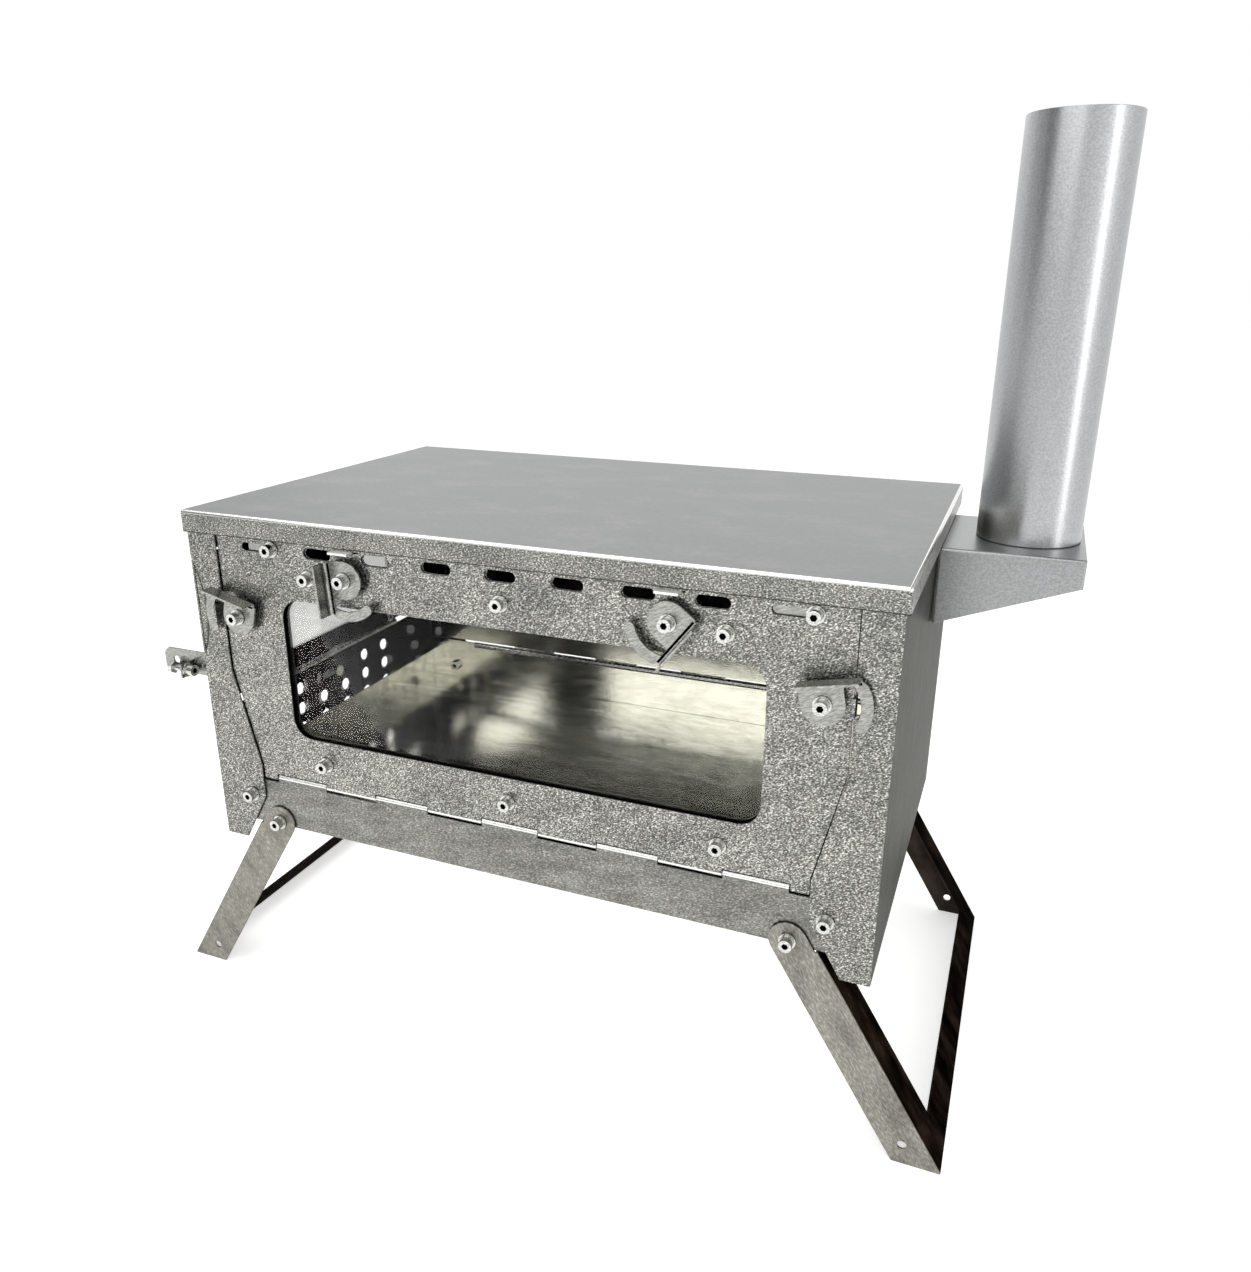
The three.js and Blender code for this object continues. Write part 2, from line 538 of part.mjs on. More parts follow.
function leftWall() {
  const doorOpening = rectangle(
    DOOR_CENTRE_Y - DOOR_WIDTH / 2 - DOOR_GAP, DOOR_HINGE_Z - LEAF_SETBACK,
    DOOR_CENTRE_Y + DOOR_WIDTH / 2 + DOOR_GAP, DOOR_TOP_Z + DOOR_GAP);
  const knobSlot = obround(
    DAMPER_CENTRE_Y + DAMPER_REST_SHIFT - DAMPER_TRAVEL / 2, DAMPER_TOP_ROW_Z,
    DAMPER_TRAVEL + 2 * SCREW_HOLE_RADIUS, 2 * SCREW_HOLE_RADIUS);
  const holes = [doorOpening, knobSlot, ...damperHoles(0)];
  const sheet = plateYZ(wallOutline(), holes, -WALL_OUT);
  const leaf = hingeLeaf(DOOR_HINGE_LENGTH, DOOR_HINGE_KNUCKLES, false)
    .map((piece) => placeOnDoorHinge(piece));
  const notchRadius = FLANGE_NOTCH_LENGTH ** 2 / (8 * FLANGE_NOTCH_DEPTH) + FLANGE_NOTCH_DEPTH / 2;
  const notchCentre = -WALL_OUT + FLANGE_NOTCH_DEPTH - notchRadius;
  const notch = plateXZ(
    circle(notchCentre, SIDE_LATCH_Z, notchRadius, 6 * PIPE_FACETS), [], FRONT - SHEET, 3 * SHEET);
  const flanges = wallFlanges().map((piece) => mirrored(piece));
  flanges[0] = cut(flanges[0], notch);
  const keeperZ = DOOR_TOP_Z + DOOR_GAP;
  const keeper = box(-WALL_OUT - KEEPER_REACH, -WALL_IN,
    DOOR_CENTRE_Y - LID_TAB_WIDTH / 2, DOOR_CENTRE_Y + LID_TAB_WIDTH / 2, keeperZ, keeperZ + SHEET);
  return join(sheet, ...flanges, ...leaf, keeper);
}

/** Carries a piece from the hinge's own frame to the bottom edge of the side door. */
function placeOnDoorHinge(geometry) {
  return geometry.rotateZ(-Math.PI / 2).translate(-WALL_OUT + KNUCKLE_RADIUS, DOOR_CENTRE_Y, DOOR_HINGE_Z);
}

addPiece('left_wall', leftWall(), 'rolled');
addPiece('right_wall', rightWall(), 'rolled');

const sheetPairScrew = screw(SHEET + GAP + SHEET);
for (const [sideName, side] of [['left', -1], ['right', 1]]) {
  const x = side * WALL_SCREW_X;
  addScrew(`wall_screw_front_${sideName}`, sheetPairScrew, 'front', x, FRONT, WALL_SCREW_Z);
  addScrew(`wall_screw_back_${sideName}`, sheetPairScrew, 'back', x, -FRONT, WALL_SCREW_Z);
}

// ---------------------------------------------------------------- folding legs

/** The right leg frame: a U-shaped web bent over at both ends into the two leg strips. */
function rightLeg() {
  const inner = -LEG_HALF_WIDTH;
  const outer = LEG_HALF_WIDTH + SHEET;
  // Lengths along the leg, from its pivot. It is drawn too long and cut off level with the ground.
  const footLength = (LEG_PIVOT_Z + outer * Math.sin(SPLAY)) / Math.cos(SPLAY);
  const drawnLength = footLength + LEG_FOOT_BAR;
  const barTop = footLength - LEG_FOOT_BAR;
  const webTop = (LEG_PIVOT_Z - BASE_BOTTOM_Z + GAP + outer * Math.sin(SPLAY)) / Math.cos(SPLAY);
  const holeAlong = (LEG_PIVOT_Z - LEG_HOLE_Z) / Math.cos(SPLAY);
  const strip = [
    ...arc(0, 0, LEG_HALF_WIDTH, 0, 180, 8),
    ...polygon([inner, -drawnLength], [outer, -drawnLength], [outer, -webTop], [LEG_HALF_WIDTH, -webTop]),
  ];
  const holes = [circle(0, 0, SCREW_HOLE_RADIUS), circle(0, -holeAlong, LEG_HOLE_RADIUS)];
  const web = polygon(
    [FRONT, -drawnLength], [-FRONT, -drawnLength], [-FRONT, -webTop],
    [-FRONT - LEG_WEB_WIDTH, -webTop], [-FRONT - LEG_WEB_WIDTH, -barTop],
    [FRONT + LEG_WEB_WIDTH, -barTop], [FRONT + LEG_WEB_WIDTH, -webTop], [FRONT, -webTop]);
  const frame = join(
    plateXZ(strip, holes, FRONT),
    plateXZ(strip, holes, -FRONT - SHEET),
    plateYZ(web, [], LEG_HALF_WIDTH),
  ).rotateY(-SPLAY).translate(LEG_PIVOT_X, 0, LEG_PIVOT_Z);
  return cut(frame, box(0, BODY_WIDTH, 2 * FRONT, -2 * FRONT, -drawnLength, 0));
}

addPiece('leg_frame_right', rightLeg(), 'dark');
addPiece('leg_frame_left', mirrored(rightLeg()), 'dark');
for (const [sideName, side] of [['left', -1], ['right', 1]]) {
  const x = side * LEG_PIVOT_X;
  addScrew(`leg_screw_front_${sideName}`, sheetPairScrew, 'front', x, FRONT, LEG_PIVOT_Z);
  addScrew(`leg_screw_back_${sideName}`, sheetPairScrew, 'back', x, -FRONT, LEG_PIVOT_Z);
}

// ---------------------------------------------------------------- lid

function lid() {
  const halfWidth = WALL_OUT + LID_SIDE_GAP + SHEET;
  const rear = -FRONT + LID_OVERHANG;
  const shell = cut(
    box(-halfWidth, halfWidth, RIM_FRONT, rear, RIM_BOTTOM_Z, TOP_HEIGHT),
    box(-halfWidth + SHEET, halfWidth - SHEET, RIM_FRONT + SHEET, rear - SHEET,
      RIM_BOTTOM_Z - SHEET, TOP_HEIGHT - SHEET));
  const tabBottom = RIM_BOTTOM_Z - LID_TAB_DROP;
  const tabs = [-1, 1].flatMap((side) => {
    const x0 = side * TOP_LATCH_X - LID_TAB_WIDTH / 2;
    const x1 = side * TOP_LATCH_X + LID_TAB_WIDTH / 2;
    return [
      box(x0, x1, RIM_FRONT - LID_TAB_REACH, RIM_FRONT + SHEET, tabBottom, tabBottom + SHEET),
      box(x0, x1, RIM_FRONT, RIM_FRONT + SHEET, tabBottom, RIM_BOTTOM_Z + SHEET),
    ];
  });
  return join(shell, ...tabs);
}

addPiece('lid', lid(), 'satin');

// ---------------------------------------------------------------- front panel and window

/** Screws that hold the window frame: three above the opening and three below. */
const WINDOW_SCREWS = [
  WINDOW_TOP_Z + WINDOW_SCREW_OFFSET, WINDOW_BOTTOM_Z - WINDOW_SCREW_OFFSET,
].flatMap((z) => [-WINDOW_SCREW_X, 0, WINDOW_SCREW_X].map((x) => [x, z]));

const LATCH_PIVOTS = {
  top_left: [-TOP_LATCH_X, TOP_LATCH_Z],
  top_right: [TOP_LATCH_X, TOP_LATCH_Z],
  side_left: [-SIDE_LATCH_X, SIDE_LATCH_Z],
  side_right: [SIDE_LATCH_X, SIDE_LATCH_Z],
};

function airSlots() {
  return Array.from({ length: 2 * SLOTS_BESIDE + 1 }, (_, index) => obround(
    (index - SLOTS_BESIDE) * AIR_SLOT_PITCH, AIR_SLOT_Z, AIR_SLOT_LENGTH, AIR_SLOT_HEIGHT));
}

function windowOpening(margin) {
  const halfWidth = WINDOW_WIDTH / 2 + margin;
  return rectangle(-halfWidth, WINDOW_BOTTOM_Z - margin, halfWidth, WINDOW_TOP_Z + margin,
    WINDOW_CORNER_RADIUS);
}

/**
 * The panel follows the tapered flanges, is notched round the keeper tabs of the lid and comes
 * down beside the ends of its hinge.
 */
function frontPanel() {
  const bottom = FRONT_HINGE_Z + LEAF_SETBACK;
  const earBottom = FRONT_HINGE_Z - LEAF_SETBACK + DOOR_GAP;
  const notchFloor = RIM_BOTTOM_Z - LID_TAB_DROP - PANEL_TOP_CLEARANCE;
  const notchHalf = LID_TAB_WIDTH / 2 + PANEL_TOP_CLEARANCE;
  const rightEdge = [
    [HINGE_END_X + KNUCKLE_GAP, bottom], [HINGE_END_X + KNUCKLE_GAP, earBottom],
    [PANEL_NARROW, earBottom], [PANEL_NARROW, FLANGE_TAPER_BOTTOM_Z],
    [PANEL_WIDE, FLANGE_TAPER_TOP_Z], [PANEL_WIDE, PANEL_TOP_Z],
    [TOP_LATCH_X + notchHalf, PANEL_TOP_Z], [TOP_LATCH_X + notchHalf, notchFloor],
    [TOP_LATCH_X - notchHalf, notchFloor], [TOP_LATCH_X - notchHalf, PANEL_TOP_Z],
  ];
  const leftEdge = rightEdge.map(([x, z]) => [-x, z]).reverse();
  const guideSlots = [-1, 1].map((side) => obround(
    side * GUIDE_SLOT_X, AIR_SLOT_Z, GUIDE_SLOT_LENGTH, 2 * SCREW_HOLE_RADIUS));
  const holes = [
    windowOpening(0), ...airSlots(), ...guideSlots,
    ...WINDOW_SCREWS.map(([x, z]) => circle(x, z, SCREW_HOLE_RADIUS)),
    ...Object.values(LATCH_PIVOTS).map(([x, z]) => circle(x, z, SCREW_HOLE_RADIUS)),
  ];
  const leaf = hingeLeaf(LONG_HINGE_LENGTH, LONG_HINGE_KNUCKLES, true)
    .map((piece) => piece.translate(0, SKIN_FRONT + KNUCKLE_RADIUS, FRONT_HINGE_Z));
  return join(plateXZ(polygon(...rightEdge, ...leftEdge), holes, SKIN_FRONT), ...leaf);
}

addPiece('front_panel', frontPanel(), 'rolled');

const GLASS_FRONT = SKIN_BACK + GAP;
const FRAME_FRONT = GLASS_FRONT + GLASS_THICKNESS + GAP;
addPiece('window_glass', plateXZ(windowOpening(GLASS_OVERLAP), [], GLASS_FRONT, GLASS_THICKNESS), 'glass');

/** The retaining frame, notched round the nuts of the top latches. */
function windowFrame() {
  const holes = [windowOpening(0), ...WINDOW_SCREWS.map(([x, z]) => circle(x, z, SCREW_HOLE_RADIUS))];
  const reach = NUT_RADIUS + DOOR_GAP;
  const notches = [-1, 1].map((side) => box(
    side * TOP_LATCH_X - reach, side * TOP_LATCH_X + reach,
    FRAME_FRONT - SHEET, FRAME_FRONT + 2 * SHEET, TOP_LATCH_Z - reach, TOP_LATCH_Z + 2 * reach));
  return cut(plateXZ(windowOpening(FRAME_OVERLAP), holes, FRAME_FRONT), ...notches);
}

addPiece('window_frame', windowFrame(), 'rolled');

const glazingSleeve = { from: SHEET + GAP, to: SHEET + GAP + GLASS_THICKNESS };
const glazingScrew = screw(FRAME_FRONT + SHEET - SKIN_FRONT, glazingSleeve);
WINDOW_SCREWS.forEach(([x, z], index) => {
  addScrew(`window_screw_${index + 1}`, glazingScrew, 'front', x, SKIN_FRONT, z);
});

// ---------------------------------------------------------------- air slider

// The slider is drawn where it stands at rest: open, at the right end of its travel.
const SLIDER_REST_X = SLIDER_TRAVEL / 2;

function airSlider() {
  const guideHoles = [-1, 1].map((side) => circle(
    side * GUIDE_SLOT_X + SLIDER_REST_X, AIR_SLOT_Z, SCREW_HOLE_RADIUS));
  return plateXZ(
    rectangle(SLIDER_REST_X - SLIDER_HALF_LENGTH, AIR_SLOT_Z - SLIDER_HEIGHT / 2 - SHEET,
      SLIDER_REST_X + SLIDER_HALF_LENGTH, AIR_SLOT_Z + SLIDER_HEIGHT / 2 - SHEET),
    [...airSlots(), ...guideHoles], SKIN_BACK + GAP);
}

addPiece('air_slider', airSlider(), 'rolled');
for (const [sideName, side] of [['left', -1], ['right', 1]]) {
  addScrew(`air_slider_screw_${sideName}`, sheetPairScrew, 'front',
    side * GUIDE_SLOT_X + SLIDER_REST_X, SKIN_FRONT, AIR_SLOT_Z);
}

// ---------------------------------------------------------------- turn latches

/** Plate and hooked arm of a right-hand latch in XZ, pivot at the origin and handle edge on top. */
function latchOutline() {
  const slitAngle = THREE.MathUtils.radToDeg(Math.asin(LATCH_SLIT_TOP / LATCH_ARM_INNER));
  const cornerAngle = THREE.MathUtils.radToDeg(Math.asin(LATCH_HANDLE_OFFSET / LATCH_ARM_OUTER));
  const tipRadius = (LATCH_ARM_OUTER - LATCH_ARM_INNER) / 2;
  const tipDistance = (LATCH_ARM_OUTER + LATCH_ARM_INNER) / 2;
  const tip = THREE.MathUtils.degToRad(LATCH_ARM_TIP_ANGLE);
  return [
    ...arc(0, 0, LATCH_PLATE_RADIUS, 180, 360, 8),
    ...polygon([LATCH_PLATE_RADIUS, LATCH_SLIT_TOP]),
    ...arc(0, 0, LATCH_ARM_INNER, slitAngle, LATCH_ARM_TIP_ANGLE, 6),
    ...arc(tipDistance * Math.cos(tip), tipDistance * Math.sin(tip), tipRadius,
      LATCH_ARM_TIP_ANGLE - 180, LATCH_ARM_TIP_ANGLE, 4).slice(1, -1),
    ...arc(0, 0, LATCH_ARM_OUTER, LATCH_ARM_TIP_ANGLE, cornerAngle, 6),
    ...polygon([-LATCH_HANDLE_START, LATCH_HANDLE_OFFSET], [-LATCH_PLATE_RADIUS, LATCH_HANDLE_OFFSET - 1]),
  ];
}

/** A right-hand latch with its back face on y = 0. */
function latch() {
  const handleEnd = Math.sqrt(LATCH_ARM_OUTER ** 2 - LATCH_HANDLE_OFFSET ** 2);
  return join(
    plateXZ(latchOutline(), [circle(0, 0, SCREW_HOLE_RADIUS)], -SHEET),
    box(-LATCH_HANDLE_START, handleEnd, -SHEET - LATCH_HANDLE_REACH, 0,
      LATCH_HANDLE_OFFSET - SHEET, LATCH_HANDLE_OFFSET));
}

// Turn of each latch from the drawn position, in degrees, anticlockwise as seen from the front.
// The side latches are closed and the top ones stand open.
const LATCH_TURNS = { top_left: 94, top_right: -128, side_left: -14, side_right: 12 };
const latchSleeve = { from: SHEET + GAP, to: SKIN_FRONT - LATCH_FACE - GAP };
const latchScrew = screw(SKIN_BACK - LATCH_FACE, latchSleeve);

for (const [place, [x, z]] of Object.entries(LATCH_PIVOTS)) {
  const geometry = x < 0 ? mirrored(latch()) : latch();
  const mesh = addPiece(`latch_${place}`, geometry, 'rolled');
  mesh.rotation.y = -THREE.MathUtils.degToRad(LATCH_TURNS[place]);
  mesh.position.set(x, LATCH_BACK, z);
  addScrew(`latch_screw_${place}`, latchScrew, 'front', x, LATCH_FACE, z);
}

// ---------------------------------------------------------------- back panel

function backPanel() {
  // Clear of the side door's glazing when it folds down into the firebox.
  const doorHardware = 3 * GAP + 2 * SHEET + GLASS_THICKNESS + NUT_HEIGHT;
  const halfWidth = WALL_OUT - doorHardware - DOOR_GAP;
  const sheet = plateXZ(
    rectangle(-halfWidth, BACK_HINGE_Z + LEAF_SETBACK, halfWidth, WALL_TOP_Z - GAP), [], -SKIN_BACK);
  const leaf = hingeLeaf(LONG_HINGE_LENGTH, LONG_HINGE_KNUCKLES, true)
    .map((piece) => piece.rotateZ(Math.PI).translate(0, -SKIN_FRONT - KNUCKLE_RADIUS, BACK_HINGE_Z));
  return join(sheet, ...leaf);
}

addPiece('back_panel', backPanel(), 'rolled');

// ---------------------------------------------------------------- side door

const DOOR_SCREWS = [DOOR_WINDOW_TOP_Z + DOOR_SCREW_OFFSET, DOOR_WINDOW_BOTTOM_Z - DOOR_SCREW_OFFSET]
  .flatMap((z) => [-DOOR_SCREW_Y, DOOR_SCREW_Y].map((y) => [DOOR_CENTRE_Y + y, z]));

function doorWindow(margin) {
  const halfWidth = DOOR_WINDOW_WIDTH / 2 + margin;
  return rectangle(DOOR_CENTRE_Y - halfWidth, DOOR_WINDOW_BOTTOM_Z - margin,
    DOOR_CENTRE_Y + halfWidth, DOOR_WINDOW_TOP_Z + margin);
}

function doorScrewHoles() {
  return DOOR_SCREWS.map(([y, z]) => circle(y, z, SCREW_HOLE_RADIUS));
}

// The pull and the latch are screwed to the door as well.
function doorFittingHoles() {
  return [
    circle(DOOR_CENTRE_Y, DOOR_LATCH_Z, SCREW_HOLE_RADIUS),
    circle(PULL_SCREW_Y, PULL_Z, SCREW_HOLE_RADIUS),
  ];
}

function sideDoor() {
  const outline = rectangle(
    DOOR_CENTRE_Y - DOOR_WIDTH / 2, DOOR_HINGE_Z + LEAF_SETBACK,
    DOOR_CENTRE_Y + DOOR_WIDTH / 2, DOOR_TOP_Z);
  const sheet = plateYZ(outline, [doorWindow(0), ...doorScrewHoles(), ...doorFittingHoles()], -WALL_OUT);
  const leaf = hingeLeaf(DOOR_HINGE_LENGTH, DOOR_HINGE_KNUCKLES, true)
    .map((piece) => placeOnDoorHinge(piece));
  return join(sheet, ...leaf);
}

addPiece('side_door', sideDoor(), 'rolled');
addPiece('side_door_hinge_pin', placeOnDoorHinge(hingePin(DOOR_HINGE_LENGTH)), 'dark');

const DOOR_GLASS_X = -WALL_IN + GAP;
const DOOR_FRAME_X = DOOR_GLASS_X + GLASS_THICKNESS + GAP;
const doorGlass = plateYZ(doorWindow(DOOR_GLASS_OVERLAP), [], DOOR_GLASS_X, GLASS_THICKNESS);
const doorFrame = plateYZ(
  doorWindow(DOOR_FRAME_OVERLAP), [doorWindow(0), ...doorScrewHoles()], DOOR_FRAME_X);
addPiece('side_door_glass', doorGlass, 'glass');
addPiece('side_door_frame', doorFrame, 'rolled');
DOOR_SCREWS.forEach(([y, z], index) => {
  addScrew(`side_door_screw_${index + 1}`, glazingScrew, 'left', -WALL_OUT, y, z);
});

// The latch rides on the door and its arm stands over the keeper above the opening.
const DOOR_LATCH_BACK = -WALL_OUT - LATCH_STANDOFF;
addPiece('side_door_latch', latch()
  .rotateY(-Math.PI / 2)
  .rotateZ(-Math.PI / 2)
  .translate(DOOR_LATCH_BACK, DOOR_CENTRE_Y, DOOR_LATCH_Z), 'rolled');
addScrew('side_door_latch_screw', screw(SHEET + LATCH_STANDOFF + SHEET), 'left',
  DOOR_LATCH_BACK - SHEET, DOOR_CENTRE_Y, DOOR_LATCH_Z);

// ---------------------------------------------------------------- door pull

const PULL_FOOT_X = -WALL_OUT - GAP - SHEET;
const KNOB_SCREW = {
  x: -WALL_OUT - PULL_EAR_X + SHEET,
  y: PULL_Y - PULL_EAR_REACH / 2,
  z: PULL_Z - PULL_WIDTH / 2 + WASHER_RADIUS,
};

/** A strap standing out from the front edge of the door, with a screwed foot and a small ear. */
function doorPull() {
  const bottom = PULL_Z - PULL_WIDTH / 2;
  const top = PULL_Z + PULL_WIDTH / 2;
  const end = -WALL_OUT - PULL_REACH;
  const strap = plateXZ(
    polygon([PULL_FOOT_X + SHEET, bottom], [PULL_FOOT_X + SHEET, top],
      [end + PULL_CHAMFER, top], [end, top - PULL_CHAMFER],
      [end, bottom + PULL_CHAMFER], [end + PULL_CHAMFER, bottom]),
    [circle(end + PULL_HOLE_INSET, PULL_Z, LEG_HOLE_RADIUS)], PULL_Y);
  const foot = plateYZ(
    rectangle(PULL_Y, bottom, PULL_Y + PULL_FOOT, top),
    [circle(PULL_SCREW_Y, PULL_Z, SCREW_HOLE_RADIUS)], PULL_FOOT_X);
  const ear = plateYZ(
    rectangle(PULL_Y - PULL_EAR_REACH, bottom, PULL_Y + SHEET / 2, bottom + 2 * WASHER_RADIUS),
    [circle(KNOB_SCREW.y, KNOB_SCREW.z, SCREW_HOLE_RADIUS)], KNOB_SCREW.x - SHEET);
  return join(strap, foot, ear);
}

addPiece('side_door_pull', doorPull(), 'rolled');
addScrew('side_door_pull_screw', sheetPairScrew, 'left', PULL_FOOT_X, PULL_SCREW_Y, PULL_Z);
addScrew('side_door_knob_screw', screw(SHEET, null, KNOB_SCREW_TAIL), 'right',
  KNOB_SCREW.x, KNOB_SCREW.y, KNOB_SCREW.z);

// ---------------------------------------------------------------- damper

function damperPlate() {
  const halfLength = (DAMPER_COLUMNS - 1) / 2 * DAMPER_COLUMN_PITCH + DAMPER_MARGIN;
  const centre = DAMPER_CENTRE_Y + DAMPER_REST_SHIFT;
  const outline = rectangle(
    centre - halfLength, DAMPER_TOP_ROW_Z - (DAMPER_ROWS - 1) * DAMPER_ROW_PITCH - DAMPER_MARGIN,
    centre + halfLength, DAMPER_TOP_ROW_Z + DAMPER_MARGIN);
  const knobHole = circle(centre, DAMPER_TOP_ROW_Z, SCREW_HOLE_RADIUS);
  const holes = [knobHole, ...damperHoles(DAMPER_REST_SHIFT)];
  return plateYZ(outline, holes, -WALL_OUT - GAP - DAMPER_SHEET, DAMPER_SHEET);
}

/** The knob, its stud through plate and wall, and the nut inside, as one turned piece. */
function damperKnob() {
  const grip = DAMPER_SHEET + GAP + SHEET;
  return turned([
    [0, -grip - GAP - NUT_HEIGHT], [NUT_RADIUS, -grip - GAP - NUT_HEIGHT], [NUT_RADIUS, -grip - GAP],
    [SCREW_RADIUS, -grip - GAP], [SCREW_RADIUS, GAP], [NUT_RADIUS, GAP],
    [NUT_RADIUS, KNOB_HEIGHT / 2], [KNOB_RADIUS, KNOB_HEIGHT / 2], [KNOB_RADIUS, KNOB_HEIGHT + GAP],
    [0, KNOB_HEIGHT + GAP],
  ], PIPE_FACETS / 2);
}

addPiece('damper_plate', damperPlate(), 'rolled');
addScrew('damper_knob', damperKnob(), 'left',
  -WALL_OUT - GAP - DAMPER_SHEET, DAMPER_CENTRE_Y + DAMPER_REST_SHIFT, DAMPER_TOP_ROW_Z);

// ---------------------------------------------------------------- flue

/** Rectangular spigot through the right wall, with a lip inside that carries it. */
function flueSpigot() {
  const { y0, y1, z0, z1 } = SPIGOT;
  const lipX = WALL_IN - GAP;
  const tube = plateYZ(
    rectangle(y0, z0, y1, z1),
    [rectangle(y0 + SHEET, z0 + SHEET, y1 - SHEET, z1 - SHEET)],
    lipX - SHEET, WALL_OUT + SPIGOT_REACH - lipX + SHEET);
  const lip = plateYZ(
    rectangle(y0 - SPIGOT_LIP, z0 - SPIGOT_LIP, y1 + SPIGOT_LIP, z1 + SPIGOT_LIP),
    [rectangle(y0 + SHEET / 2, z0 + SHEET / 2, y1 - SHEET / 2, z1 - SHEET / 2)],
    lipX - SHEET);
  return join(tube, lip);
}

const ELBOW_IN = WALL_OUT + GAP;
const ELBOW_OUT = ELBOW_IN + ELBOW_LENGTH;
const PIPE_X = ELBOW_OUT - PIPE_END_MARGIN - PIPE_RADIUS;

/** Wedge outline of the elbow in XZ, drawn in by a margin, with its mouth at x0. */
function elbowOutline(margin, x0) {
  const slopeMargin = margin * Math.hypot(1, ELBOW_SLOPE);
  const bottomAt = (x) => ELBOW_TOP_Z - ELBOW_MOUTH_HEIGHT + ELBOW_SLOPE * (x - ELBOW_IN) + slopeMargin;
  const end = ELBOW_OUT - margin;
  return polygon(
    [x0, bottomAt(x0)], [end, bottomAt(end)], [end, ELBOW_TOP_Z - margin], [x0, ELBOW_TOP_Z - margin]);
}

const COLLAR_RADIUS = PIPE_RADIUS - PIPE_WALL - GAP;

function roundPipe(radius, margin = 0) {
  return circle(PIPE_X, ELBOW_CENTRE_Y, radius + margin, PIPE_FACETS);
}

function flueElbow() {
  const y0 = ELBOW_CENTRE_Y - ELBOW_WIDTH / 2;
  return cut(
    plateXZ(elbowOutline(0, ELBOW_IN), [], y0, ELBOW_WIDTH),
    plateXZ(elbowOutline(SHEET, ELBOW_IN - SHEET), [], y0 + SHEET, ELBOW_WIDTH - 2 * SHEET),
    plateXY(roundPipe(COLLAR_RADIUS, GAP), [], ELBOW_TOP_Z - 2 * SHEET, 3 * SHEET));
}

/** The ring that the pipe slides over, held in the elbow by its lip. */
function flueCollar() {
  const lipTop = ELBOW_TOP_Z - SHEET - GAP;
  const bottom = lipTop - PIPE_WALL;
  const bore = roundPipe(COLLAR_RADIUS - PIPE_WALL);
  return join(
    plateXY(roundPipe(COLLAR_RADIUS), [bore], bottom, ELBOW_TOP_Z + COLLAR_HEIGHT - bottom),
    plateXY(roundPipe(COLLAR_RADIUS, COLLAR_LIP), [bore], bottom, PIPE_WALL));
}

function chimneyPipe() {
  return plateXY(
    roundPipe(PIPE_RADIUS), [roundPipe(PIPE_RADIUS - PIPE_WALL)], ELBOW_TOP_Z + GAP, PIPE_LENGTH);
}

addPiece('flue_spigot', flueSpigot(), 'rolled');
addPiece('flue_elbow', flueElbow(), 'satin');
addPiece('flue_collar', flueCollar(), 'satin');
addPiece('chimney_pipe', chimneyPipe(), 'satin');

// ---------------------------------------------------------------- origin

// The origin is under the middle of the whole stove, on the ground.
stove.updateMatrixWorld(true);
const extent = new THREE.Box3().setFromObject(stove, true);
const middle = extent.getCenter(new THREE.Vector3());
stove.position.set(-middle.x, -middle.y, -extent.min.z);
stove.updateMatrixWorld(true);

export default stove;
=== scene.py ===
"""Folding tent wood stove: the finished look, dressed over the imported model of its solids."""

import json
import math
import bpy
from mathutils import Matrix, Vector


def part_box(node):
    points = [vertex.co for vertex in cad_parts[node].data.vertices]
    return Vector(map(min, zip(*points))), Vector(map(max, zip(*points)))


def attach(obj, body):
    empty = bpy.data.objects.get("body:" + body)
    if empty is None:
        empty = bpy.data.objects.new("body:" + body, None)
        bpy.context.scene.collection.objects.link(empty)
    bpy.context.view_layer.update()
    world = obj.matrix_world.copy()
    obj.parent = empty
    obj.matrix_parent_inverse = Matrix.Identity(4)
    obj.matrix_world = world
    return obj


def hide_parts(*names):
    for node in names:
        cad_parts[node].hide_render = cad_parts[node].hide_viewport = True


bl_info = {
    "name": "Tent Wood Stove",
    "version": (1, 0, 0),
    "blender": (4, 5, 0),
    "location": "View3D > Sidebar > Tent Stove",
    "description": "Finishes each piece of a folding tent stove and sets up its studio stage",
    "category": "Object",
}

import bmesh
import bpy
from bpy.props import FloatProperty, IntProperty, PointerProperty
from bpy.types import Operator, Panel, PropertyGroup
from mathutils import Euler, Matrix, Vector

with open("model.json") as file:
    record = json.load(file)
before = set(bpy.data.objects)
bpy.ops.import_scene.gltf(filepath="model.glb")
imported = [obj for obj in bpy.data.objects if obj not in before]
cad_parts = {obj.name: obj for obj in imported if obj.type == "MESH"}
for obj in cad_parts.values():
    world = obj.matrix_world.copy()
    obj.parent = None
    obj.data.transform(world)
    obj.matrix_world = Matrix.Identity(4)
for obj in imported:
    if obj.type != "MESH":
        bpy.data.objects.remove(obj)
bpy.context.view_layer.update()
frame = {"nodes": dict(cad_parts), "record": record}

# ------------------------------------------------------------------ the frame's own measures

BODIES = frame["record"]["behaviour"]["bodies"]
BODY_OF = {node: body for body, nodes in BODIES.items() for node in nodes}
SLOT_OF = {row["node"]: row["material_slot"] for row in frame["record"]["subparts"]}
PIVOT_OF = {joint["child"]: joint.get("pos_m") for joint in frame["record"]["behaviour"]["joints"]}

LID_LOW, LID_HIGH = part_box("lid")
PAN_LOW, PAN_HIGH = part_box("base_pan")
PIPE_LOW, PIPE_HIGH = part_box("chimney_pipe")
KNOB_LOW, KNOB_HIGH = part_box("damper_knob")
DAMPER_LOW, DAMPER_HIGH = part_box("damper_plate")
FRONT_PIN_LOW, FRONT_PIN_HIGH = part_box("front_hinge_pin")
PANEL_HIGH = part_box("front_panel")[1]
RIGHT_WALL_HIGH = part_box("right_wall")[1]

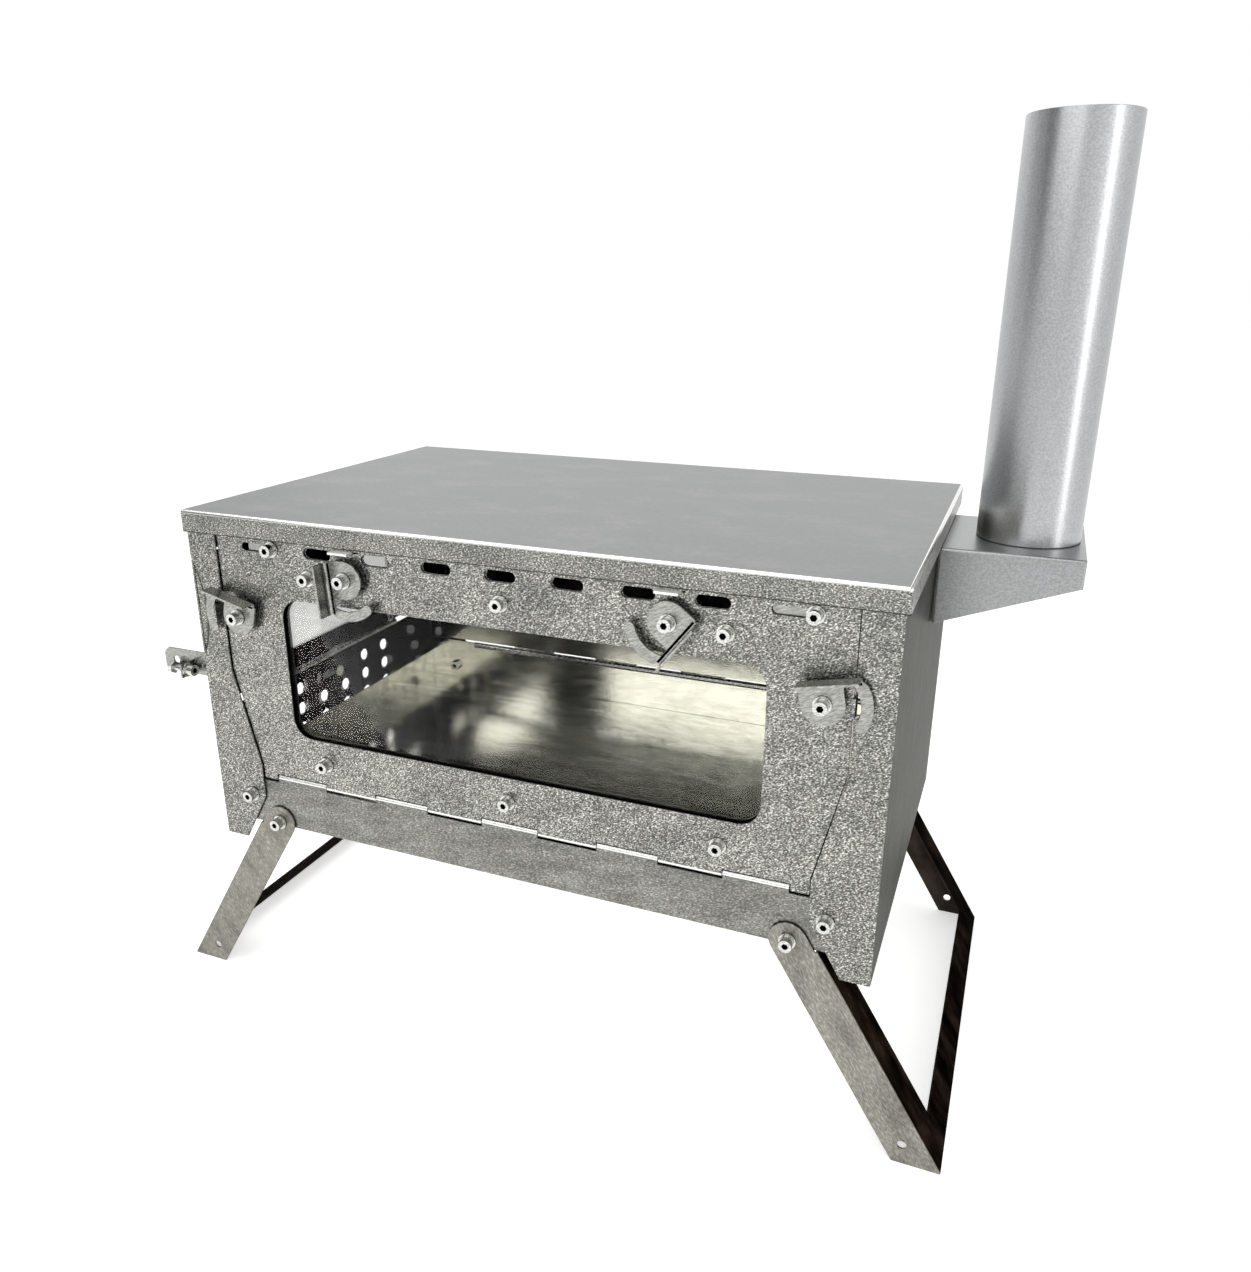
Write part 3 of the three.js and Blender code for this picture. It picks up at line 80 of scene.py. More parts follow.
# The middle of the firebox on the ground, which the photograph was measured from.
MIDDLE = Vector(((LID_LOW.x + LID_HIGH.x) / 2, (PAN_LOW.y + PAN_HIGH.y) / 2, 0))
HALF_WIDTH = RIGHT_WALL_HIGH.x - MIDDLE.x  # the firebox over its side sheets
HALF_DEPTH = RIGHT_WALL_HIGH.y - MIDDLE.y  # and over the flanges

QUARTER = math.pi / 2

# ------------------------------------------------------------------ measures of the camera

PHOTO_WIDTH = 1251
PHOTO_HEIGHT = 1272
FOCAL_PIXELS = 1019.9
SENSOR = 36.0
CAMERA_PLACE = Vector((0.24049, -0.54968, 0.42758))
CAMERA_YAW = math.radians(21.82)
CAMERA_PITCH = math.radians(19.21)
CAMERA_ROLL = math.radians(0.23)

# ------------------------------------------------------------------ properties


def length(name, default, description, **more):
    return FloatProperty(name=name, description=description, default=default, unit="LENGTH", **more)


def number(name, default, description):
    return FloatProperty(name=name, description=description, default=default)


def count(name, default, description):
    return IntProperty(name=name, description=description, default=default, min=1)


class SheetSizes(PropertyGroup):
    bend: length("Bend", 0.0010, "Outer radius of a folded corner", min=0.0001)
    wide_bend: length("Wide bend", 0.0018, "Outer radius of the folds of the lid and the elbow", min=0.0001)
    edge: length("Cut edge", 0.00022, "Rounding of a sheared sheet edge", min=0.00005)
    ground_edge: length("Ground edge", 0.0008, "Rounding of a pane's edge", min=0.00005)
    thickness: length("Sheet", 0.0012, "Thickness of the folded sheet", min=0.0005)


class ScrewSizes(PropertyGroup):
    head_radius: length("Head radius", 0.0034, "Half the width of the cap head")
    head_height: length("Head height", 0.0039, "Height of the cap head")
    socket_radius: length("Socket radius", 0.00175, "Centre to corner of the hexagon socket")
    socket_depth: length("Socket depth", 0.0021, "Depth of the hexagon socket")
    lock_radius: length("Lock washer radius", 0.0033, "Outer radius of the split lock washer")
    lock_height: length("Lock washer height", 0.0009, "Thickness of the split lock washer")
    washer_radius: length("Washer radius", 0.0044, "Outer radius of the plain washer")
    washer_height: length("Washer height", 0.0008, "Thickness of the plain washer")
    nut_radius: length("Nut radius", 0.0039, "Centre to corner of the nut")
    nut_height: length("Nut height", 0.0032, "Height of the nut")
    shank_radius: length("Shank radius", 0.0019, "Half the thread diameter")


class LatchSizes(PropertyGroup):
    plate_radius: length("Plate radius", 0.0105, "Round lower end of the latch plate")
    handle_offset: length("Handle offset", 0.0121, "Pivot to the outside of the bent handle")
    handle_start: length("Handle start", 0.0095, "Handle beyond the pivot, away from the arm")
    handle_reach: length("Handle reach", 0.0090, "Handle in front of the plate")
    arm_inner: length("Arm inner radius", 0.0172, "Inside of the curved arm")
    arm_outer: length("Arm outer radius", 0.0228, "Outside of the curved arm")
    arm_tip: FloatProperty(
        name="Arm tip", description="Direction of the arm's rounded end",
        default=math.radians(-38), subtype="ANGLE")
    slit_top: length("Slit top", 0.0080, "Upper end of the slit above the pivot")
    corner: length("Plate corner", 0.0012, "Rounding where the plate meets the arm")
    handle_lap: length("Handle lap", 0.0015, "Handle let into the plate below its bend")
    bore: length("Bore radius", 0.0023, "Hole for the screw")


class FlueSizes(PropertyGroup):
    wall: length("Pipe wall", 0.0008, "Thickness of the pipe and its collar")
    facets: count("Facets", 96, "Facets round the pipe")


class PanelSizes(PropertyGroup):
    narrow: length("Narrow half width", 0.1650, "Half width between the feet of the flanges")
    taper_start: length("Taper start", 0.0080, "Taper above the front hinge")
    taper_height: length("Taper height", 0.0590, "Height of the tapered part")
    window_width: length("Window width", 0.2770, "Width of the window opening")
    window_bottom: length("Window bottom", 0.1760, "Height of the lower edge")
    window_top: length("Window top", 0.2600, "Height of the upper edge")
    corner: length("Corner radius", 0.0120, "Rounding of the window's corners")
    slot_pitch: length("Slot pitch", 0.0370, "Air slot to air slot")
    slot_length: length("Slot length", 0.0175, "Length of an air slot")
    slot_height: length("Slot height", 0.0060, "Height of an air slot")
    slot_drop: length("Slot drop", 0.0049, "Top of the panel to the middle of the slots")
    slots: count("Slots", 7, "Air slots in the row")
    guide_length: length("Guide slot length", 0.0226, "Slot for a screw of the air slider")
    guide_place: length("Guide slot place", 0.1500, "Guide slot from the middle")
    hole_radius: length("Screw hole radius", 0.0023, "Half the width of a screw hole")
    notch_half: length("Notch half width", 0.0066, "Half the notch for a keeper of the lid")
    notch_depth: length("Notch depth", 0.0019, "Depth of that notch")
    nut_room: length("Nut room", 0.0055, "Half the frame's notch round a latch's nut")


class KnuckleSizes(PropertyGroup):
    outer: length("Knuckle radius", 0.00223, "Outside of a rolled knuckle", precision=5)
    bore: length("Bore radius", 0.00105, "Hole for the pin")
    gap: length("Gap", 0.0004, "Between neighbouring knuckles")
    count: count("Knuckles", 9, "Knuckles of a long hinge")
    door_count: count("Side door knuckles", 7, "Knuckles of the side door's hinge")
    above: length("Panel above the pin", 0.0028, "Pin to the panel's edge between its knuckles")
    ear: length("Ear below the pin", 0.0012, "Pin to the lower end of the panel's ears")


class ScoopSizes(PropertyGroup):
    half_length: length("Half length", 0.0300, "Middle of the hollow to its end")
    reach: length("Reach", 0.0075, "Width of the hollow at its middle")
    depth: length("Depth", 0.0016, "How deep the hollow is pressed")


class DamperSizes(PropertyGroup):
    columns: count("Columns", 6, "Holes along the damper")
    rows: count("Rows", 3, "Rows of holes")
    column_pitch: length("Column pitch", 0.024, "Hole to hole along the damper")
    row_pitch: length("Row pitch", 0.0142, "Row to row")
    hole_radius: length("Hole radius", 0.0046, "Radius of an air hole")


class StageSettings(PropertyGroup):
    key_power: number("Key power", 14.0, "Watts of the overhead lamp")
    left_power: number("Left power", 0.4, "Watts of the lamp at the left")
    right_power: number("Right power", 3.2, "Watts of the tall lamp at the right")
    rear_power: number("Rear power", 1.0, "Watts of the lamp behind")
    front_power: number("Front power", 4.8, "Watts of the lamp in front")
    floor_glow: number("Floor glow", 0.5, "Light that the floor shows of itself, to be seen as white")


# ------------------------------------------------------------------ node and colour helpers


def linear(hex_colour):
    """A linear RGBA colour from an sRGB hex value such as "8c8f8e"."""
    channels = [int(hex_colour[at:at + 2], 16) / 255 for at in (0, 2, 4)]
    return [c / 12.92 if c <= 0.04045 else ((c + 0.055) / 1.055) ** 2.4 for c in channels] + [1.0]


def add(tree, kind, inputs=(), **settings):
    """Adds a node with its settings; inputs pairs a socket with a value or with a socket to link."""
    node = tree.nodes.new(kind)
    for name, value in settings.items():
        setattr(node, name, value)
    for socket, value in dict(inputs).items():
        if isinstance(value, bpy.types.NodeSocket):
            tree.links.new(value, node.inputs[socket])
        else:
            node.inputs[socket].default_value = value
    return node


def maths(tree, operation, first, second=0.0):
    return add(tree, "ShaderNodeMath", {0: first, 1: second}, operation=operation).outputs[0]


def mapped(tree, value, start, end, low=0.0, high=1.0, **settings):
    """Maps start to end on to low to high, and keeps within them."""
    return add(tree, "ShaderNodeMapRange", {
        "Value": value, "From Min": start, "From Max": end, "To Min": low, "To Max": high,
    }, **settings).outputs["Result"]


def spread(tree, noise, low, high):
    """Maps noise, which keeps near the middle, to a range of values."""
    return mapped(tree, noise, 0.3, 0.7, low, high)


def mixed(tree, factor, first, second, blend="MIX"):
    node = add(tree, "ShaderNodeMix", {0: factor, 6: first, 7: second}, data_type="RGBA", blend_type=blend)
    return node.outputs[2]


def blended(tree, factor, first, second):
    """A number between two numbers."""
    return add(tree, "ShaderNodeMix", {0: factor, 2: first, 3: second}, data_type="FLOAT").outputs[0]


def ramp(tree, factor, stops):
    """A colour ramp through (position, sRGB hex) stops."""
    node = add(tree, "ShaderNodeValToRGB", {"Fac": factor})
    elements = node.color_ramp.elements
    while len(elements) < len(stops):
        elements.new(0.5)
    for element, (position, colour) in zip(elements, stops):
        element.position = position
        element.color = linear(colour)
    return node.outputs["Color"]


def streaks(tree, length, width, turn=(0, 0, 0), detail=2.0):
    """Noise drawn out along X after the turn: a streak's length and width in metres."""
    place = add(tree, "ShaderNodeTexCoord").outputs["Object"]
    turned = add(tree, "ShaderNodeMapping", {"Vector": place, "Rotation": turn})
    drawn = add(tree, "ShaderNodeMapping", {
        "Vector": turned.outputs["Vector"], "Scale": (1 / length, 1 / width, 1 / width)})
    noise = add(tree, "ShaderNodeTexNoise", {
        "Vector": drawn.outputs["Vector"], "Scale": 1.0, "Detail": detail, "Roughness": 0.6})
    return noise.outputs["Fac"]


def away(tree, axis, middle=0.0):
    """Distance from a plane across an axis, without its sign."""
    place = add(tree, "ShaderNodeTexCoord").outputs["Object"]
    value = add(tree, "ShaderNodeSeparateXYZ", {"Vector": place}).outputs[axis]
    return maths(tree, "ABSOLUTE", maths(tree, "SUBTRACT", value, middle))


def within(tree, axis, depth, blur=0.0004):
    """One for what lies deeper than depth behind the firebox's outer faces across an axis."""
    middle, reach = {"X": (MIDDLE.x, HALF_WIDTH), "Y": (MIDDLE.y, HALF_DEPTH)}[axis]
    return mapped(tree, away(tree, axis, middle), reach - depth, reach - depth - blur)


# ------------------------------------------------------------------ finishes
#
# A finish gives the inputs of its material's shader: values, or the sockets to link to them.

GRAIN_TILT = (0, math.radians(24), 0)
PAN_TILT = (0, math.radians(8), 0)
LEG_TILT = (0, math.radians(-58), 0)
LID_TILT = (0, 0, math.radians(12))
UPRIGHT = (0, QUARTER, 0)  # turns a streak that runs along X to run along Z

# Colours of painted shade, black and grey, and of a painted highlight.
PAINTED_SHADE_BLACK = linear("0f0f0e")
PAINTED_SHADE_GREY = linear("3c3b38")
PAINTED_HIGHLIGHT = linear("f2f2ee")
PLAIN_TINT = "ffffff"
EDGE_TINT = "8c8c8a"  # dulled steel mirrors less at a glancing look than bright steel does


def metal(tree, colour, rough, height=None, strength=None, tint=PLAIN_TINT):
    """Inputs of a bare metal; its surface rises and falls with height, where that is given."""
    inputs = {"Metallic": 1.0, "Base Color": colour, "Roughness": rough, "Specular Tint": linear(tint)}
    if height:
        bump = add(tree, "ShaderNodeBump", {"Height": height, "Strength": strength, "Distance": 0.0003})
        inputs["Normal"] = bump.outputs["Normal"]
    return inputs


def rolled_colour(tree, turn=GRAIN_TILT):
    """Grain of cold-rolled stainless as (colour, height): bright flecks 1 mm long in mid grey.

    The real flecks are about 0.3 mm; they are drawn as coarse as they need to be to show.
    """
    flecks = streaks(tree, 0.0011, 0.0006, turn, detail=1.0)
    clouds = streaks(tree, 0.045, 0.020, turn, detail=4.0)
    grain = ramp(tree, flecks, [(0.28, "484845"), (0.46, "7c7c78"), (0.57, "a2a29e"), (0.70, "fafaf4")])
    cloud = ramp(tree, clouds, [(0.32, "c0c0be"), (0.68, "fefefa")])
    return mixed(tree, 0.7, grain, cloud, "MULTIPLY"), flecks


def upright_colour(tree, stops):
    """Upright rolling streaks as (colour, height), through three sRGB hex stops."""
    upright = streaks(tree, 0.030, 0.0011, UPRIGHT, detail=3.0)
    return ramp(tree, upright, list(zip((0.32, 0.50, 0.68), stops))), upright


def rolled_stainless(tree):
    """Bare cold-rolled stainless sheet: bright flecks over grey clouds, the inside darkened with painted
    shade.
    """
    colour, flecks = rolled_colour(tree)
    # Painted shade on the inside of the firebox.
    colour = mixed(tree, within(tree, "Y", 0.0017), colour, PAINTED_SHADE_GREY)
    return metal(tree, colour, spread(tree, flecks, 0.26, 0.44), flecks, 0.35)


def wall_stainless(tree):
    """Side sheets: flecked flanges, upright rolling streaks on the sides, the inside darkened with painted
    shade.
    """
    colour, flecks = rolled_colour(tree)
    drawn, upright = upright_colour(tree, ("5e5e5b", "787874", "9a9a96"))
    inner = within(tree, "X", 0.0007)
    on_side = maths(tree, "MULTIPLY", maths(tree, "SUBTRACT", 1.0, inner), within(tree, "Y", 0.0004))
    inside = maths(tree, "MULTIPLY", inner, within(tree, "Y", 0.0011, 0.0003))
    # Painted shade, almost black, on the inside of the firebox.
    colour = mixed(tree, inside, mixed(tree, on_side, colour, drawn), PAINTED_SHADE_BLACK)
    rough = blended(tree, inside, spread(tree, flecks, 0.26, 0.44), 0.30)
    return metal(tree, colour, rough, blended(tree, on_side, flecks, upright), 0.25, EDGE_TINT)


def door_stainless(tree):
    """Side door sheet: upright streaks outside, the firebox side darkened with painted shade."""
    drawn, upright = upright_colour(tree, ("6a6a67", "868682", "a8a8a4"))
    # Painted shade, almost black, on the firebox side.
    colour = mixed(tree, within(tree, "X", 0.0007), drawn, PAINTED_SHADE_BLACK)
    return metal(tree, colour, spread(tree, upright, 0.26, 0.40), upright, 0.2, EDGE_TINT)


def pan_stainless(tree):
    """Base pan and back: fine rolled grain in soft clouds; inside, a bright mill floor painted brighter still
    as painted light, with painted shade higher up.
    """
    fine = streaks(tree, 0.0013, 0.0007, PAN_TILT, detail=1.5)
    clouds = streaks(tree, 0.026, 0.008, PAN_TILT, detail=5.0)
    grain = ramp(tree, fine, [(0.30, "686864"), (0.48, "868682"), (0.60, "9e9e99"), (0.74, "d0d0ca")])
    cloud = ramp(tree, clouds, [(0.32, "b0b0ae"), (0.50, "dcdcd8"), (0.68, "ffffff")])
    outside = mixed(tree, 0.75, grain, cloud, "MULTIPLY")
    # Inside, a near-white tone stands in for the light that falls in (painted light), and painted shade
    # darkens it higher up.
    painted_inside_tone = ramp(tree, clouds, [(0.35, "d6d5ca"), (0.65, "f0efe6")])
    painted_shade_start, painted_shade_full = 0.168, 0.192  # heights above the ground
    painted_inside_tone = mixed(tree, mapped(tree, away(tree, "Z"), painted_shade_start, painted_shade_full), painted_inside_tone, PAINTED_SHADE_GREY)
    inside = within(tree, "Y", 0.0023, 0.0003)
    rough = blended(tree, inside, spread(tree, fine, 0.28, 0.42), spread(tree, clouds, 0.08, 0.17))
    return metal(tree, mixed(tree, inside, outside, painted_inside_tone), rough, fine, 0.12)


def fine_metal(tree, streak, stops, rough, strength=None, detail=2.0):
    """Metal with one fine grain, which sets its colour, its roughness and its bumps, if any."""
    fine = streaks(tree, *streak, detail=detail)
    return metal(tree, ramp(tree, fine, stops), spread(tree, fine, *rough), strength and fine, strength)


def cut_stainless(tree):
    """Small laser-cut fittings: grey, dulled by heat and handling."""
    stops = [(0.32, "7e7e79"), (0.50, "969691"), (0.68, "b6b6b0")]
    return fine_metal(tree, (0.0030, 0.0006, GRAIN_TILT), stops, (0.20, 0.30), 0.08)


def knuckle_stainless(tree):
    """Rolled hinge knuckles, painted bright all over as a painted highlight for the light on their round
    tops.
    """
    # These near-white tones are a painted highlight.
    stops = [(0.32, "d4d4d0"), (0.50, "e4e4e0"), (0.68, "f4f4f0")]
    return fine_metal(tree, (0.0030, 0.0006), stops, (0.22, 0.30), 0.08)


def flue_stainless(tree):
    """Flue pipe: thin rolled sheet with a fine even speckle, smooth enough for the room to band it."""
    stops = [(0.34, "a6a7a8"), (0.50, "b0b1b2"), (0.66, "babbbc")]
    return fine_metal(tree, (0.0010, 0.0009), stops, (0.28, 0.32), 0.012, detail=1.0)


def elbow_stainless(tree):
    """Folded elbow: the pipe's sheet, dulled a little by the heat of the firebox."""
    stops = [(0.34, "90918f"), (0.50, "9a9b9c"), (0.66, "a4a5a6")]
    return fine_metal(tree, (0.0010, 0.0009), stops, (0.28, 0.32), 0.012, detail=1.0)


def hinge_wire(tree):
    """Drawn wire of the hinge pins: grey and lightly oiled, with marks round it."""
    return fine_metal(tree, (0.0004, 0.0020), [(0.35, "6a6862"), (0.65, "96948e")], (0.28, 0.42))


def satin_stainless(tree):
    """Lid: satin cooking plate with cloudy rub marks and an underside darkened with painted shade.

    Its rim keeps the rolled flecks; the fold between them is painted bright and smooth as a painted
    highlight, and the sheared lower edge is painted dark as a painted shadow. The keeper tabs that
    stand out in front are painted bright as a painted highlight.
    """
    clouds = streaks(tree, 0.045, 0.030, detail=5.0)
    fine = streaks(tree, 0.0040, 0.0012, LID_TILT)
    cloud = ramp(tree, clouds, [(0.34, "8f9090"), (0.50, "9a9b9b"), (0.68, "abacab")])
    grain = ramp(tree, fine, [(0.35, "dcdcdc"), (0.65, "ffffff")])
    plain = mixed(tree, 0.5, cloud, grain, "MULTIPLY")
    flecked, flecks = rolled_colour(tree, (0, 0, 0))

    def below_top(start, end):
        """Nought at a depth of start below the top of the lid, one at a depth of end."""
        return mapped(tree, away(tree, "Z"), LID_HIGH.z - start, LID_HIGH.z - end)

    def band(lower, upper):
        return maths(tree, "MULTIPLY", below_top(*lower), below_top(*upper))

    top = below_top(0.0016, 0.0003)
    under = below_top(0.0004, 0.0007)
    for axis in "XY":
        under = maths(tree, "MULTIPLY", under, within(tree, axis, -0.0008))
    fold = band((0.0020, 0.0016), (0.00002, 0.00008))
    sheared = band((0.0127, 0.0125), (0.0118, 0.0121))
    to_tabs = LID_HIGH.y - MIDDLE.y + HALF_DEPTH + 0.0022  # from the lid's back edge
    tab = mapped(tree, away(tree, "Y", LID_HIGH.y), to_tabs, to_tabs + 0.0004)
    colour = mixed(tree, top, flecked, plain)
    # Painted highlight on the fold and on the keeper tabs, painted shade under the lid, painted shadow along
    # the sheared edge.
    for place, tone in ((fold, PAINTED_HIGHLIGHT), (under, PAINTED_SHADE_GREY), (sheared, PAINTED_SHADE_GREY), (tab, linear("f6f6f2"))):
        colour = mixed(tree, place, colour, tone)
    rough = blended(tree, top, spread(tree, flecks, 0.26, 0.40), spread(tree, clouds, 0.34, 0.44))
    rough = blended(tree, tab, blended(tree, fold, rough, 0.16), 0.5)
    return metal(tree, colour, rough, blended(tree, top, flecks, fine), 0.08)


def leg_stainless(tree):
    """Leg frames: scuffed strips, and webs between them that are almost black."""
    fine = streaks(tree, 0.0030, 0.0008, LEG_TILT)
    clouds = streaks(tree, 0.030, 0.012, LEG_TILT, detail=4.0)
    grain = ramp(tree, fine, [(0.32, "82817c"), (0.50, "969590"), (0.70, "bcbbb6")])
    cloud = ramp(tree, clouds, [(0.34, "b8b4ae"), (0.50, "e4e0da"), (0.68, "fcf8f2")])
    strip = mixed(tree, 0.8, grain, cloud, "MULTIPLY")
    dark_webs = ramp(tree, clouds, [(0.34, "1a1715"), (0.66, "3c342f")])
    colour = mixed(tree, within(tree, "Y", 0.0008), strip, dark_webs)
    return metal(tree, colour, spread(tree, clouds, 0.30, 0.44), fine, 0.10, EDGE_TINT)


def bright_steel(tree):
    """Plated screws, washers and nuts: turned bright, with painted shade in the socket."""
    fine = streaks(tree, 0.0012, 0.0005)
    speck = ramp(tree, fine, [(0.35, "aeaeaa"), (0.65, "dcdcd8")])
    hollow = add(tree, "ShaderNodeAttribute", attribute_name="socket").outputs["Fac"]
    rough = blended(tree, hollow, spread(tree, fine, 0.14, 0.22), 0.6)
    # The socket's hollow is darkened with painted shade.
    return metal(tree, mixed(tree, hollow, speck, PAINTED_SHADE_BLACK), rough)


# How much of a pane is traced as glass; the rest is left open.
PANE_SHARE = 0.07
# For the eye alone, the side door's pane is traced as more glass, tinted grey, as painted shade.
PAINTED_SHADE_SHARE = 0.56


def clear_glass(tree, tone="f2f7f4"):
    """Heat-resistant window glass, with a faint film of handling marks.

    Most of it is left open, because a traced lamp would not find its way through a bent ray.
    """
    film = streaks(tree, 0.040, 0.030, detail=4.0)
    return {"Base Color": linear(tone), "Roughness": spread(tree, film, 0.0, 0.03), "IOR": 1.47,
            "Transmission Weight": 1.0, "Alpha": PANE_SHARE}


def hazed_glass(tree):
    """Side door's window, painted grey for the eye alone as painted shade over the view through; it still
    lets light in to the floor.
    """
    eye = add(tree, "ShaderNodeLightPath").outputs["Is Camera Ray"]
    # Painted shade: only camera rays see the grey pane.
    return {**clear_glass(tree, "7a7b75"), "Alpha": blended(tree, eye, PANE_SHARE, PAINTED_SHADE_SHARE)}


FINISHES = {
    "body_steel": rolled_stainless, "lid_steel": satin_stainless, "leg_steel": leg_stainless,
    "flue_steel": flue_stainless, "pin_steel": hinge_wire, "fastener_steel": bright_steel,
    "glass": clear_glass,
}
# Pieces whose surface differs from what their slot says.
SPECIAL = {
    "left_wall": wall_stainless, "right_wall": wall_stainless, "side_door": door_stainless,
    "side_door_frame": door_stainless, "damper_plate": door_stainless,
    "air_slider": cut_stainless, "flue_elbow": elbow_stainless, "side_door_glass": hazed_glass,
    "base_pan": pan_stainless, "back_panel": pan_stainless,
    "latch_top_left": cut_stainless, "latch_top_right": cut_stainless,
    "latch_side_left": cut_stainless, "latch_side_right": cut_stainless,
    "side_door_latch": cut_stainless, "side_door_pull": cut_stainless, "knuckles": knuckle_stainless,
}
MATERIALS = {}


def new_material(name, paint):
    """A material of one principled shader, whose inputs paint gives."""
    material = bpy.data.materials.new(name)
    material.use_nodes = True
    tree = material.node_tree
    tree.nodes.clear()
    shader = add(tree, "ShaderNodeBsdfPrincipled", paint(tree))
    add(tree, "ShaderNodeOutputMaterial", {"Surface": shader.outputs["BSDF"]})
    return material


def finish(node):
    """The material of a node, from its own finish or its slot's, made when it is first asked for."""
    paint = SPECIAL.get(node) or FINISHES[SLOT_OF[node]]
    if paint not in MATERIALS:
        MATERIALS[paint] = new_material(paint.__name__, paint)
    return MATERIALS[paint]


# ------------------------------------------------------------------ mesh helpers

TOUCHING = 1e-6  # vertices as near as this are one


def new_object(name, mesh):
    obj = bpy.data.objects.new(name, mesh)
    bpy.context.scene.collection.objects.link(obj)
    return obj


def applied(obj):
    """Replaces an object's mesh by its evaluated one and removes the modifiers."""
    graph = bpy.context.evaluated_depsgraph_get()
    mesh = bpy.data.meshes.new_from_object(obj.evaluated_get(graph), depsgraph=graph)
    if obj.type == "MESH":
        obj.modifiers.clear()
        obj.data = mesh
        return obj
    name = obj.name
    bpy.data.objects.remove(obj)
    return new_object(name, mesh)


def shaded(obj, smooth_angle=math.radians(35)):
    """Smooths round faces and keeps each flat face's own normal right up to the bend beside it."""
    with bpy.context.temp_override(object=obj, active_object=obj, selected_objects=[obj],
                                   selected_editable_objects=[obj]):
        bpy.ops.object.shade_smooth_by_angle(angle=smooth_angle)
    weighted = obj.modifiers.new("even shading", "WEIGHTED_NORMAL")
    weighted.mode = "FACE_AREA"
    weighted.weight = 100
    weighted.keep_sharp = True
    return applied(obj)


def ride(obj, node):
    """Gives a piece the body of a node."""
    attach(obj, BODY_OF[node])


def dress(obj, nodes):
    """Gives a finished piece its material and body, and puts it in place of its CAD nodes."""
    obj.data.materials.clear()
    obj.data.materials.append(finish(nodes[0]))
    shaded(obj)
    ride(obj, nodes[0])
    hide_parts(*nodes)


def bevel(obj, width, segments, angle=None):
    """Rounds the edges sharper than an angle, or those that have a weight."""
    modifier = obj.modifiers.new("rounding", "BEVEL")
    modifier.width = width
    modifier.segments = segments
    modifier.limit_method = "ANGLE" if angle else "WEIGHT"
    if angle:
        modifier.angle_limit = math.radians(angle)
    return modifier


def closed(built, name, distance=TOUCHING):
    """Joins what touches, turns the faces outward and makes an object of it."""
    bmesh.ops.remove_doubles(built, verts=built.verts, dist=distance)
    bmesh.ops.recalc_face_normals(built, faces=built.faces)
    return object_of(built, name)


def object_of(built, name):
    mesh = bpy.data.meshes.new(name)
    built.to_mesh(mesh)
    built.free()
    return new_object(name, mesh)


def merge(mesh, distance=TOUCHING):
    built = bmesh.new()
    built.from_mesh(mesh)
    bmesh.ops.remove_doubles(built, verts=built.verts, dist=distance)
    bmesh.ops.recalc_face_normals(built, faces=built.faces)
    built.to_mesh(mesh)
    built.free()


def opened(node):
    """A copy of a CAD node's mesh, and the same opened for editing with its flat faces whole again."""
    mesh = frame["nodes"][node].data.copy()
    built = bmesh.new()
    built.from_mesh(mesh)
    bmesh.ops.remove_doubles(built, verts=built.verts, dist=TOUCHING)
    bmesh.ops.dissolve_limit(built, angle_limit=math.radians(0.5), verts=built.verts, edges=built.edges)
    return mesh, built


def join_meshes(name, objects):
    """One object of several meshes, each already in place."""
    built = bmesh.new()
    for obj in objects:
        built.from_mesh(obj.data)
        bpy.data.objects.remove(obj)
    return object_of(built, name)


def arc(cx, cz, radius, start, end, steps):
    """Points on an arc, angles in radians."""
    angles = [start + (end - start) * step / steps for step in range(steps + 1)]
    return [(cx + radius * math.cos(a), cz + radius * math.sin(a)) for a in angles]


def plate(name, outline, holes, thickness, edge):
    """A flat plate in XY centred on z = 0, with rounded edges, from an outline and holes."""
    curve = bpy.data.curves.new(name, "CURVE")
    curve.dimensions = "2D"
    curve.fill_mode = "BOTH"
    curve.extrude = thickness / 2 - edge
    curve.bevel_depth = edge
    curve.bevel_resolution = 2
    curve.offset = -edge
    for points in [outline, *holes]:
        spline = curve.splines.new("POLY")
        spline.points.add(len(points) - 1)
        for point, (x, y) in zip(spline.points, points):
            point.co = (x, y, 0, 1)
        spline.use_cyclic_u = True
    obj = applied(new_object(name, curve))
    merge(obj.data)
    return obj


def lathe(name, profile, centre, facets, turn=Matrix.Identity(4)):
    """A piece turned round Z from (radius, height) points, then turned and put at centre.

    The points are a closed loop, or start and end on the axis.
    """
    on_axis = profile[0][0] == 0
    built = bmesh.new()
    rings = []
    for facet in range(facets):
        angle = 2 * math.pi * facet / facets
        rings.append([
            built.verts.new((r * math.cos(angle), r * math.sin(angle), h)) for r, h in profile])
    for ring, following in zip(rings, [*rings[1:], rings[0]]):
        for at in range(len(profile) - 1 if on_axis else len(profile)):
            after = (at + 1) % len(profile)
            built.faces.new((ring[at], following[at], following[after], ring[after]))
    obj = closed(built, name, TOUCHING / 10)
    obj.data.transform(Matrix.Translation(centre) @ turn)
    return obj


# ------------------------------------------------------------------ folded sheets

# Bends by axis: 0, 1 and 2 for folds that run along X, Y and Z.
SHEETS = {
    "base_pan": (2,), "left_wall": (2,), "right_wall": (2,), "lid": (0, 1, 2),
    "back_panel": (), "air_slider": (),
    "side_door": (), "side_door_frame": (), "side_door_pull": (2,),
    "flue_spigot": (), "flue_elbow": (0, 1, 2),
    "leg_frame_left": (), "leg_frame_right": (),
}
WIDE_BENDS = ("lid", "flue_elbow")
FLUSH = 1e-5  # how near a vertex on an outer face is to it
SHARP = math.radians(25)  # flatter edges are the facets of an arc


def is_bend(edge, bend_axes, low, high):
    """Whether an edge runs along one of bend_axes and lies on two faces of the sheet's box."""
    ends = [vert.co for vert in edge.verts]
    faces = sum(any(all(abs(end[at] - face) < FLUSH for end in ends) for face in (low[at], high[at]))
                for at in range(3))
    direction = (ends[1] - ends[0]).normalized()
    return faces >= 2 and any(abs(direction[axis]) > 0.99 for axis in bend_axes)


